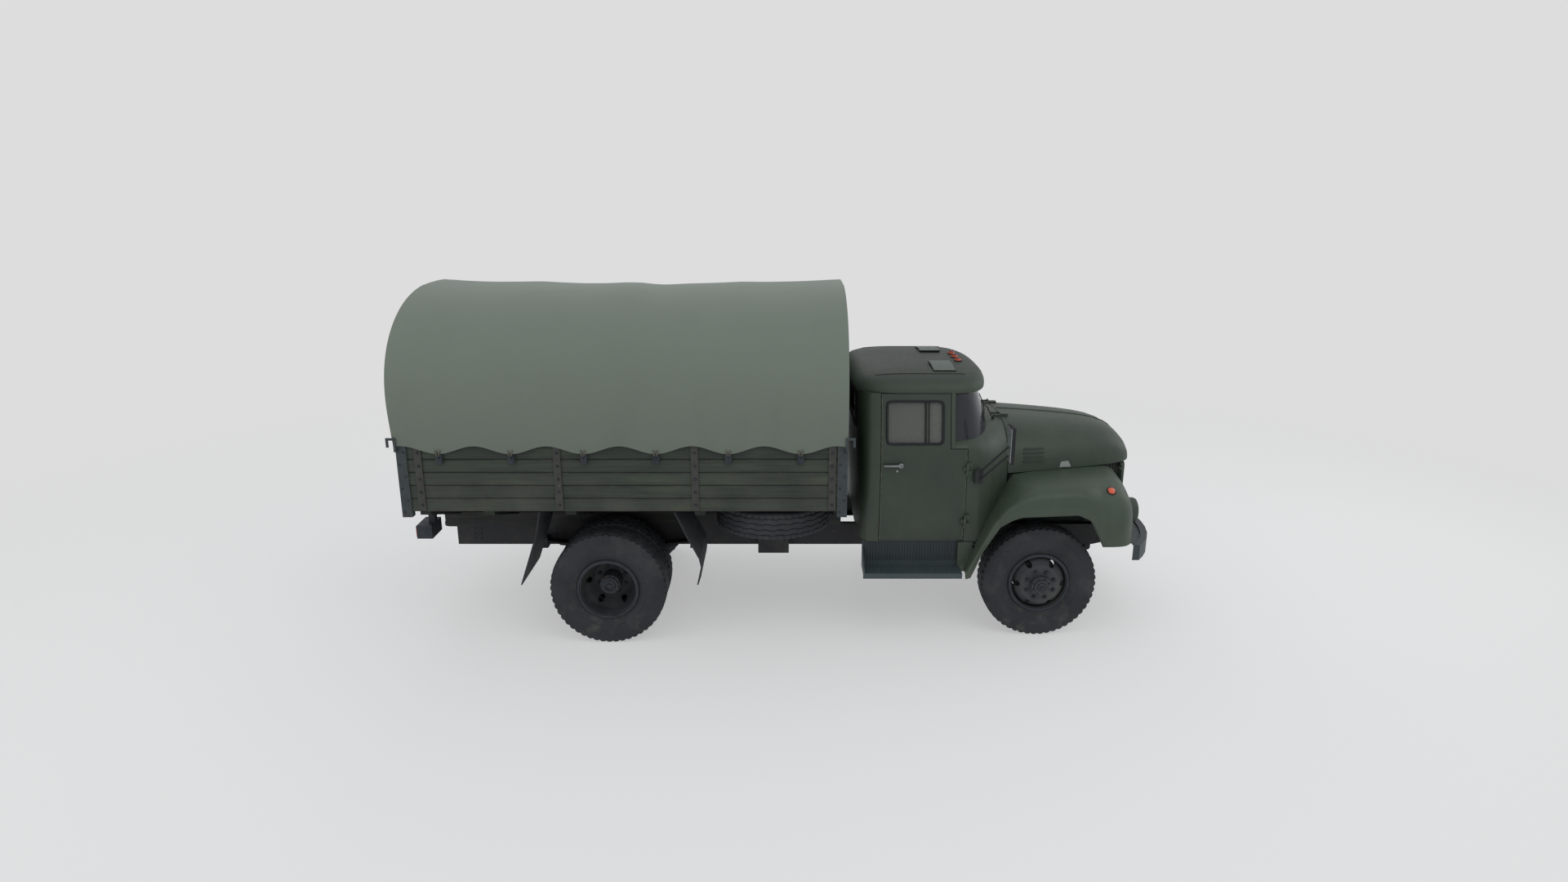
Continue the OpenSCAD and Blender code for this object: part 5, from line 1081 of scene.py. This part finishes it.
class TRUCK_OT_cab_fittings(bpy.types.Operator):
    """Adds door handles, lamps, plates, roof details, arch lips, nose fillers and the hood's strip."""

    bl_idname = "truck.cab_fittings"
    bl_label = "Cab fittings"

    def execute(self, context):
        for side, word in SIDES:
            self.handle(side, word)
            self.side_lamp(side, word)
            self.hood_plate(side, word)
        self.headlamps()
        self.roof_lamps()
        self.vents()
        self.fender_lips()
        self.bumper_ends()
        self.nose_fillers()
        self.splash_panels()
        self.roof_beads()
        bm = shape()
        tube(bm, self.bead("hood", 2.02, 3.14, 0.0), 0.007, 8)
        settle("hood_strip", bm, "cab", "hood", 0.8)
        return {"FINISHED"}

    def handle(self, side, word):
        """A door handle with its boss, and the lock below it."""
        bm = shape()
        spot, _ = from_side(f"door_{word}", DOOR_REAR + 0.10, 1.596, side)
        grip = [Vector((DOOR_REAR + x, spot.y + side * y, HANDLE_HIGH)) for x, y in
                ((0.022, 0.004), (0.030, 0.008), (0.085, 0.010), (0.140, 0.007), (0.166, 0.002))]
        tube(bm, grip, 0.0095, 10)
        turned(bm, [(0.0, -0.004), (0.023, -0.004), (0.023, 0.006), (0.017, 0.011), (0.010, 0.011),
                    (0.009, 0.007), (0.0, 0.007)],
               (DOOR_REAR + 0.168, spot.y, HANDLE_HIGH), (0, side, 0), 24, False)
        lock, _ = from_side(f"door_{word}", DOOR_REAR + 0.14, LOCK_HIGH, side)
        turned(bm, [(0.0, 0.0), (0.012, 0.0), (0.011, 0.006), (0.0, 0.008)],
               (DOOR_REAR + 0.14, lock.y, LOCK_HIGH), (0, side, 0), 18, False)
        settle(f"door_handle_dressed_{word}", bm, "steel", f"door_{word}", 0.6)

    def side_lamp(self, side, word):
        """The orange lamp on a fender, in its rubber rim."""
        lamp, out = from_side(f"fender_{word}", *SIDE_LAMP, side)
        bm = shape()
        turned(bm, [(0.0, -0.006), (0.034, -0.006), (0.034, 0.004), (0.029, 0.016), (0.016, 0.026),
                    (0.0, 0.029)], lamp, out, 28, False)
        settle(f"side_lamp_{word}", bm, "lamp", "chassis", 0.6)
        bm = shape()
        turned(bm, [(0.030, -0.006), (0.042, -0.006), (0.042, 0.003), (0.036, 0.008), (0.030, 0.006)],
               lamp, out, 28)
        settle(f"side_lamp_rim_{word}", bm, "seal", "chassis", 0.6)

    def hood_plate(self, side, word):
        """The blank plate low on the hood's side."""
        bm = shape()
        corners = []
        for x, z in ((2.477, 1.466), (2.587, 1.466), (2.560, 1.520), (2.490, 1.516)):
            at, out = from_side("hood", x, z, side)
            corners.append(bm.verts.new(at + out * 0.003))
        lift = bmesh.ops.extrude_face_region(bm, geom=[bm.faces.new(corners)])["geom"]
        bmesh.ops.translate(bm, vec=out * 0.004, verts=[g for g in lift if isinstance(g, bmesh.types.BMVert)])
        ease(bm, bm.edges[:], 0.0015, 1)
        settle(f"hood_plate_{word}", bm, "plate", "hood", 0.5)

    def bead(self, node, low, high, y):
        """A path just above a panel, from one x to another."""
        path = []
        for k in range(24):
            at, out = from_above(node, low + (high - low) * k / 23, y)
            path.append(at + out * 0.001)
        return path

    def headlamps(self):
        """Ribbed lenses in painted rims."""
        for side, word in SIDES:
            centre = Vector(HEADLAMP) * Vector((1, side, 1))
            bm = shape()
            turned(bm, [(0.0, 0.016), (0.03, 0.0145), (0.06, 0.010), (0.084, 0.002), (0.086, -0.004),
                        (0.0, -0.004)], centre, X, 48, False)
            settle(f"headlamp_lens_{word}", bm, "clear", "chassis", 0.6)
            bm = shape()
            turned(bm, [(0.083, -0.004), (0.083, 0.004), (0.090, 0.010), (0.103, 0.006), (0.112, -0.012),
                        (0.112, -0.060), (0.105, -0.060), (0.104, -0.004)], centre, X, 48)
            for k in range(3):
                a = 2 * math.pi * (k + 0.25) / 3
                rivet(bm, centre + Vector((0.007, 0.097 * math.cos(a), 0.097 * math.sin(a))), X, 0.005)
            settle(f"headlamp_rim_{word}", bm, "cab", "chassis", 0.6)

    def vents(self):
        """Covers on the two roof vents, each in a dark rubber frame."""
        covers, frames = shape(), shape()
        for side, _ in SIDES:
            inner, middle, outer = (side * y for y in VENT_EDGES)
            edge, _ = from_above("cab_roof", (VENT_REAR + VENT_FRONT) / 2, outer)
            rows = [(inner, VENT_TOP), (middle, VENT_TOP), (outer, edge.z + 0.010)]
            loft(covers, [[(VENT_REAR, y, z), (VENT_FRONT, y, z), (VENT_FRONT, y, z - 0.009),
                           (VENT_REAR, y, z - 0.009)] for y, z in rows])
            ahead = [(VENT_FRONT, y, z - 0.006) for y, z in reversed(rows)]
            loop = [(VENT_REAR, y, z - 0.006) for y, z in rows] + ahead
            tube(frames, soft_loop(loop, 0.014), 0.006, 8, True)
        settle("vent_covers", covers, "vent", "chassis", 0.6)
        settle("vent_frames", frames, "seal", "chassis", 0.8)

    def fender_lips(self):
        """The flat lip pressed round each wheel arch, found by feeling outwards from the wheel."""
        first, last = FENDER_ARCH
        turns = [math.radians(first + (last - first) * k / 79) for k in range(80)]
        for side, word in SIDES:
            def skin(x, z):
                hit = touched(f"fender_{word}", *inwards(x, z, side))[0]
                return hit.y if hit is not None and abs(hit.y) > FENDER_SKIN else None

            reach = []
            for a in turns:
                r = 0.50
                while r < 1.0 and skin(FRONT_AXLE + r * math.cos(a), AXLE_HIGH + r * math.sin(a)) is None:
                    r += 0.003
                reach.append(r + 0.006)
            near = [reach[max(0, k - 2):k + 3] for k in range(len(reach))]
            soft = [sum(part) / len(part) for part in near]
            edge = [(FRONT_AXLE + r * math.cos(a), AXLE_HIGH + r * math.sin(a)) for r, a in zip(soft, turns)]
            bm = shape()
            rows = []
            for k, (x, z) in enumerate(edge):
                before, after = edge[max(0, k - 2)], edge[min(len(edge) - 1, k + 2)]
                along = Vector((after[0] - before[0], 0, after[1] - before[1])).normalized()
                up = Vector((along.z, 0, -along.x))
                spots = []
                for wide, lift in ((0.066, -0.001), (0.060, 0.0045), (0.004, 0.0045), (0.0, 0.0)):
                    spot = Vector((x, 0, z)) + up * wide
                    y = skin(spot.x, spot.z)
                    if y is not None:
                        spots.append((spot.x, y + side * lift, spot.z))
                if len(spots) == 4:
                    rows.append([bm.verts.new(c) for c in spots])
            for a, b in zip(rows, rows[1:]):
                for j in range(3):
                    bm.faces.new((a[j], a[j + 1], b[j + 1], b[j]))
            # The lip takes the fenders' lighter paint, a painted highlight.
            settle(f"fender_lip_{word}", bm, "fender", "chassis", 0.5)

    def bumper_ends(self):
        """Closes the bumper's wrapped ends, which are box sections on the real truck."""
        bm = shape()
        for side, _ in SIDES:
            ends = [v.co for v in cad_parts["bumper"].data.vertices if v.co.y * side > BUMPER_END]
            heart = sum(ends, Vector()) / len(ends)
            part = [bm.verts.new(heart + (c - heart) * 0.975) for c in ends]
            made = bmesh.ops.convex_hull(bm, input=part)
            inside = made["geom_interior"] + made["geom_unused"]
            spare = {g for g in inside if isinstance(g, bmesh.types.BMVert)}
            bmesh.ops.delete(bm, geom=list(spare), context="VERTS")
        settle("bumper_end_boxes", bm, "iron", "chassis", 0.5)

    def nose_fillers(self):
        """Closes the nose: bumper shelf, wall under the hood's lip, grille welts and rear aprons."""
        bm, rings = shape(), []
        for k in range(53):
            y = -1.04 + 2.08 * k / 52
            front = between(BUMPER_BACK, abs(y))
            back = grille_face(y) + 0.003 if abs(y) < GRILLE_HALF else FENDER_NOSE
            rings.append([(x, y, z) for x, z in
                          ((front, SHELF_TOP), (back, SHELF_TOP), (back, SHELF_LOW), (front, SHELF_LOW))])
        loft(bm, rings)
        settle("bumper_shelf", bm, "iron", "chassis", 0.5)
        bm, rings = shape(), []
        for k in range(25):
            y = -0.5 + k / 24
            x = grille_face(y) - 0.026
            hit = touched("hood", (x, y, 1.30), Z)[0]
            top = min(hit.z - 0.005, LIP_TOP) if hit is not None else 1.450
            rings.append([(x, y, top), (x - 0.012, y, top), (x - 0.012, y, LIP_LOW), (x, y, LIP_LOW)])
        loft(bm, rings)
        for rear, ahead, inner, outer, low, high in (
            (3.040, 3.0625, 0.535, 0.64, 0.86, 1.44), (1.530, 1.66, 0.975, 0.99, 0.607, 0.884),
        ):
            block(bm, (rear, inner, low), (ahead, outer, high), 0.003)
            block(bm, (rear, -outer, low), (ahead, -inner, high), 0.003)
        settle("nose_fillers", bm, "cab", "chassis", 0.5)

    def splash_panels(self):
        """Panels beside the engine, each with a flange under the fender's edge."""
        bm = shape()
        for side, _ in SIDES:
            rings = []
            for k in range(20):
                x = 2.03 + 0.93 * k / 19
                hit = touched("hood", *inwards(x, 1.47, side))[0]
                top = (abs(hit.y) if hit is not None else 0.52) - 0.030
                section = ((top + 0.06, 1.418), (top, 1.418), (0.462, 1.06), (0.47, 1.06),
                           (top + 0.006, 1.41), (top + 0.06, 1.41))
                rings.append([(x, side * y, z) for y, z in section])
            loft(bm, rings)
        settle("splash_panels", bm, "chassis", "chassis", 0.5)

    def roof_beads(self):
        """A thin bead pressed along each side of the roof."""
        bm = shape()
        for side, _ in SIDES:
            tube(bm, self.bead("cab_roof", 0.79, 1.57, side * 0.70), 0.0045, 8)
        settle("roof_beads", bm, "roof", "chassis", 0.8)

    def roof_lamps(self):
        """Orange caps on the three roof lamps, each in a dark collar."""
        caps, collars = shape(), shape()
        for k in (-1, 0, 1):
            top, _ = from_above("lamps", ROOF_LAMP, ROOF_LAMP_PITCH * k)
            turned(caps, [(0.0, 0.001), (0.011, 0.0), (0.019, -0.004), (0.0225, -0.0125), (0.030, -0.0145),
                          (0.0312, -0.027), (0.0, -0.027)], top, Z, 28, False)
            turned(collars, [(0.0305, -0.036), (0.038, -0.036), (0.038, -0.030), (0.034, -0.026),
                             (0.0305, -0.026)], top, Z, 28)
        settle("roof_lamp_lenses", caps, "lamp", "chassis", 0.6)
        settle("roof_lamp_collars", collars, "seal", "chassis", 0.6)


class TRUCK_OT_bed_fittings(bpy.types.Operator):
    """Adds the bed's bolts, and the tilt's hooks and ties."""

    bl_idname = "truck.bed_fittings"
    bl_label = "Bed fittings"

    def execute(self, context):
        sizes = context.scene.truck_sizes
        bm = shape()
        for x in STRAPS:
            for k in range(5):
                z = BOARD_LOW + 0.057 + k * PLANK
                bolt(bm, (x, STRAP_FACE, z), Y, sizes.bolt)
        for x in (BED_REAR + POST_HALF, BED_FRONT - POST_HALF):
            for k in range(6):
                rivet(bm, (x + (0.02 if k % 2 else -0.02), STRAP_FACE, 1.25 + k * 0.105), Y, sizes.bolt)
        mirrored(bm)
        settle("bed_bolts", bm, "dark_steel", "chassis", 0.5)
        bm = shape()
        for x in HOOKS:
            for k in (-1, 1):
                bolt(bm, (x + k * 0.016, 1.249, 1.70), Y, 0.007)
            tube(bm, [(x, 1.250, 1.735), (x, 1.262, 1.728), (x, 1.270, 1.738), (x, 1.270, 1.756)], 0.006, 8)
            block(bm, (x - 0.026, 1.247, 1.672), (x + 0.026, 1.2545, 1.782), 0.003)
            block(bm, (x - 0.019, 1.2535, 1.745), (x + 0.019, 1.264, 1.772), 0.004)
        mirrored(bm)
        settle("tilt_hooks", bm, "dark_steel", "chassis", 0.6)
        bm = shape()
        tie = ((-0.018, 1.262, 1.80), (-0.012, 1.266, 1.77), (0, 1.267, 1.742), (0.012, 1.266, 1.77),
               (0.018, 1.262, 1.80))
        for x in HOOKS:
            tube(bm, [(x + dx, y, z) for dx, y, z in tie], sizes.rope, 8)
        mirrored(bm)
        settle("tilt_ties", bm, "rope", "chassis", 0.8)
        return {"FINISHED"}


class TRUCK_OT_seat(bpy.types.Operator):
    """Makes the padded bench: cushion and backrest with sewn channels."""

    bl_idname = "truck.seat"
    bl_label = "Bench"

    def execute(self, context):
        base = shape()
        block(base, (0.80, -0.72, 0.93), (1.232, 0.72, 1.185), 0.012)
        stand = settle("bench_box", base, "chassis", "chassis", 0.5)
        self.pad("bench_cushion", (0.806, -0.795, 1.186), (1.274, 0.795, 1.326), 0)
        back = self.pad("bench_back", (0.0, -0.795, 0.0), (0.112, 0.795, 0.515), 1)
        lean = Matrix.Translation((0.806, 0, 1.328)) @ Matrix.Rotation(-0.113, 4, "Y")
        back.data.transform(lean)
        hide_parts("seat")
        return {"FINISHED"}

    def pad(self, name, low, high, kind):
        """A crowned pad whose top sinks along its sewn channels."""
        bm = shape()
        block(bm, low, high, 0.03, 3)
        long_edges = [e for e in bm.edges if e.calc_length() > 0.2]
        bmesh.ops.subdivide_edges(bm, edges=long_edges, cuts=48, use_grid_fill=True)
        low, high = Vector(low), Vector(high)
        up, other = (2, 0) if kind == 0 else (0, 2)

        def swell(part):
            return math.sin(math.pi * held(part)) ** 0.35

        for v in bm.verts:
            share = [(v.co[k] - low[k]) / (high[k] - low[k]) for k in range(3)]
            crown = swell(share[1]) * swell(share[other])
            rib = abs(math.sin(math.pi * 8 * share[1]))
            if share[up] > 0.85:
                v.co[up] += (crown - 1) * 0.02 - 0.010 * (1 - rib) ** 3
            v.co[other] += (0.5 - share[other]) * 0.012 * (1 - rib) ** 2
        piece = settle(name, bm, "seat", "chassis", 1.4)
        return piece


class TRUCK_OT_chassis_fittings(bpy.types.Operator):
    """Adds rail rivets, spring clips, bumper rivets and the tank's bands and cap."""

    bl_idname = "truck.chassis_fittings"
    bl_label = "Chassis fittings"

    def execute(self, context):
        bm = shape()
        for x in (-2.8775, -2.1075, -0.8915, 0.0015, 1.1225, 3.0015):
            for dx in (-0.03, 0.03):
                for z in (0.70, 0.75, 0.80):
                    if x < 2.9 or z > 0.74:
                        rivet(bm, (x + dx, RAIL_FACE, z), Y, 0.011)
        for x, y, low, top, wide, half in (
            (FRONT_AXLE, 0.395, 0.43, 0.590, 0.062, 0.047), (REAR_AXLE, 0.4885, 0.40, 0.688, 0.086, 0.056),
        ):
            clip = ((-half, low), (-half, top), (half, top), (half, low))
            for dx in (-wide, wide):
                tube(bm, [(x + dx, y + dy, z) for dy, z in clip], 0.009, 8)
                for k in (-1, 1):
                    bolt(bm, (x + dx, y + k * half, low + 0.012), -Z, 0.014)
            block(bm, (x - wide - 0.03, y - half - 0.02, low + 0.012),
                  (x + wide + 0.03, y + half + 0.02, low + 0.028), 0.004)
        for z in (0.785, 0.842):
            for y in (0.375, 0.415):
                rivet(bm, (BUMPER_FACE, y, z), X, 0.013)
        mirrored(bm)
        settle("chassis_bolts", bm, "dark_steel", "chassis", 0.5)
        bm = shape()
        for x in TANK_BANDS:
            loop = [(x, y, z) for y, z in four(TANK_INNER, TANK_OUTER, TANK_LOW, TANK_TOP)]
            for dx in (-0.014, 0, 0.014):
                tube(bm, [p + X * dx for p in soft_loop(loop, 0.066)], 0.005, 6, True)
        turned(bm, [(0.0, 0.0), (0.050, 0.0), (0.050, 0.022), (0.044, 0.028), (0.0, 0.030)],
               TANK_CAP, Z, 24, False)
        for k in (-1, 1):
            block(bm, (0.255, 0.78 + k * 0.02 - 0.006, 0.976), (0.265, 0.78 + k * 0.02 + 0.006, 0.992), 0.002)
        settle("tank_bands", bm, "dark_steel", "chassis", 0.6)
        return {"FINISHED"}


class TRUCK_OT_mirrors(bpy.types.Operator):
    """Gives the mirrors their shells and glass."""

    bl_idname = "truck.mirrors"
    bl_label = "Mirrors"

    def execute(self, context):
        bm, glass = shape(), shape()
        block(bm, (1.8655, 1.1635, 1.688), (1.8975, 1.3265, 2.007), 0.013, 3)
        block(glass, (1.8635, 1.177, 1.702), (1.8675, 1.313, 1.993), 0.0018, 1)
        for z in (1.74, 1.95):
            peg(bm, (1.8965, 1.245, z), X, 0.014, 0.012, 14, dome=0.004)
        mirrored(bm)
        mirrored(glass)
        settle("mirror_shells", bm, "seal", "chassis", 0.6)
        settle("mirror_glasses", glass, "mirror", "chassis", 0.5)
        return {"FINISHED"}


class TRUCK_OT_steps(bpy.types.Operator):
    """Adds the pressed bars of the step treads and the ribs of their skirts."""

    bl_idname = "truck.steps"
    bl_label = "Step ribs"

    def execute(self, context):
        bm = shape()
        for k in range(26):
            x = TREAD_REAR + TREAD_PITCH * k
            block(bm, (x, 0.975, 0.6535), (x + 0.012, 1.128, 0.6585), 0.002, 1)
        for k in range(33):
            x = SKIRT_REAR + SKIRT_PITCH * k
            tube(bm, [(x, 0.9515, 0.668), (x, 0.9515, 0.876)], 0.006, 6)
        mirrored(bm)
        settle("step_ribs", bm, "step", "chassis", 0.7)
        return {"FINISHED"}


class TRUCK_OT_tail(bpy.types.Operator):
    """Adds the tail lamps' lenses and the tailgate's bolts."""

    bl_idname = "truck.tail"
    bl_label = "Tail lamps"

    def execute(self, context):
        sizes = context.scene.truck_sizes
        for tone, look, inner, outer in (("red", "red", 0.692, 0.795), ("amber", "lamp", 0.805, 0.908)):
            bm = shape()
            low, high = (TAIL_LAMP_REAR, inner, TAIL_LAMP_LOW), (TAIL_LAMP_FRONT, outer, TAIL_LAMP_TOP)
            block(bm, low, high, 0.006, 3)
            mirrored(bm)
            settle(f"tail_{tone}_lenses", bm, look, "chassis", 0.6)
        bm = shape()
        for s in (0.3, 0.85):
            for z in (1.30, 1.40, 1.52, 1.57):
                bolt(bm, (-3.2355, s * 1.167, z), -X, sizes.bolt)
        mirrored(bm)
        settle("tailgate_bolts", bm, "dark_steel", "tailgate", 0.5)
        return {"FINISHED"}


class TRUCK_OT_cab_inside(bpy.types.Operator):
    """Adds dials, gear lever and pedals."""

    bl_idname = "truck.cab_inside"
    bl_label = "Cab inside"

    def execute(self, context):
        bm, dials = shape(), shape()
        for y, r in ((0.36, 0.058), (0.52, 0.058), (0.22, 0.034), (0.13, 0.034), (0.44, 0.02)):
            z = 1.60 if r > 0.03 else 1.53
            spot = (DASH_FACE, y, z)
            turned(bm, [(r, 0.0), (r + 0.009, 0.0), (r + 0.009, 0.008), (r, 0.010)], spot, -X, 32)
            turned(dials, [(0.0, 0.003), (r, 0.003), (r, 0.0), (0.0, 0.0)], spot, -X, 32, False)
        tube(bm, [(1.42, 0.06, 0.93), (1.40, 0.06, 1.10), (1.34, 0.07, 1.32), (1.31, 0.07, 1.40)], 0.011, 10)
        knob = Matrix.Translation((1.305, 0.07, 1.415))
        bmesh.ops.create_uvsphere(bm, u_segments=20, v_segments=12, radius=0.028, matrix=knob)
        for y in (0.30, 0.44, 0.58):
            block(bm, (1.648, y - 0.04, 1.02), (1.664, y + 0.04, 1.10), 0.005)
            tube(bm, [(1.664, y, 1.06), (1.70, y, 1.02), (1.715, y, 0.97)], 0.009, 8)
        settle("cab_levers", bm, "seal", "chassis", 0.6)
        settle("dial_faces", dials, "clear", "chassis", 0.6)
        return {"FINISHED"}


PIECES = (
    TRUCK_OT_stage, TRUCK_OT_finishes, TRUCK_OT_tyres, TRUCK_OT_wheel_fittings, TRUCK_OT_tilt,
    TRUCK_OT_cab_rubbers, TRUCK_OT_cab_fittings, TRUCK_OT_bed_fittings, TRUCK_OT_seat,
    TRUCK_OT_chassis_fittings, TRUCK_OT_mirrors, TRUCK_OT_steps, TRUCK_OT_tail, TRUCK_OT_cab_inside,
)


class TRUCK_PT_pieces(bpy.types.Panel):
    """Lists the truck's pieces, sizes and colours."""

    bl_idname = "TRUCK_PT_pieces"
    bl_label = "Truck"
    bl_space_type = "VIEW_3D"
    bl_region_type = "UI"
    bl_category = "Truck"

    def draw(self, context):
        for piece in PIECES:
            self.layout.operator(piece.bl_idname)
        for group in (context.scene.truck_sizes, context.scene.truck_colours):
            for key in type(group).__annotations__:
                self.layout.prop(group, key)


CLASSES = (TruckSizes, TruckColours, *PIECES, TRUCK_PT_pieces)


def register():
    for cls in CLASSES:
        bpy.utils.register_class(cls)
    bpy.types.Scene.truck_sizes = bpy.props.PointerProperty(type=TruckSizes)
    bpy.types.Scene.truck_colours = bpy.props.PointerProperty(type=TruckColours)


def unregister():
    del bpy.types.Scene.truck_colours
    del bpy.types.Scene.truck_sizes
    for cls in reversed(CLASSES):
        bpy.utils.unregister_class(cls)


def main():
    register()
    for piece in PIECES:
        group, name = piece.bl_idname.split(".")
        getattr(getattr(bpy.ops, group), name)()


if __name__ == "__main__":
    main()
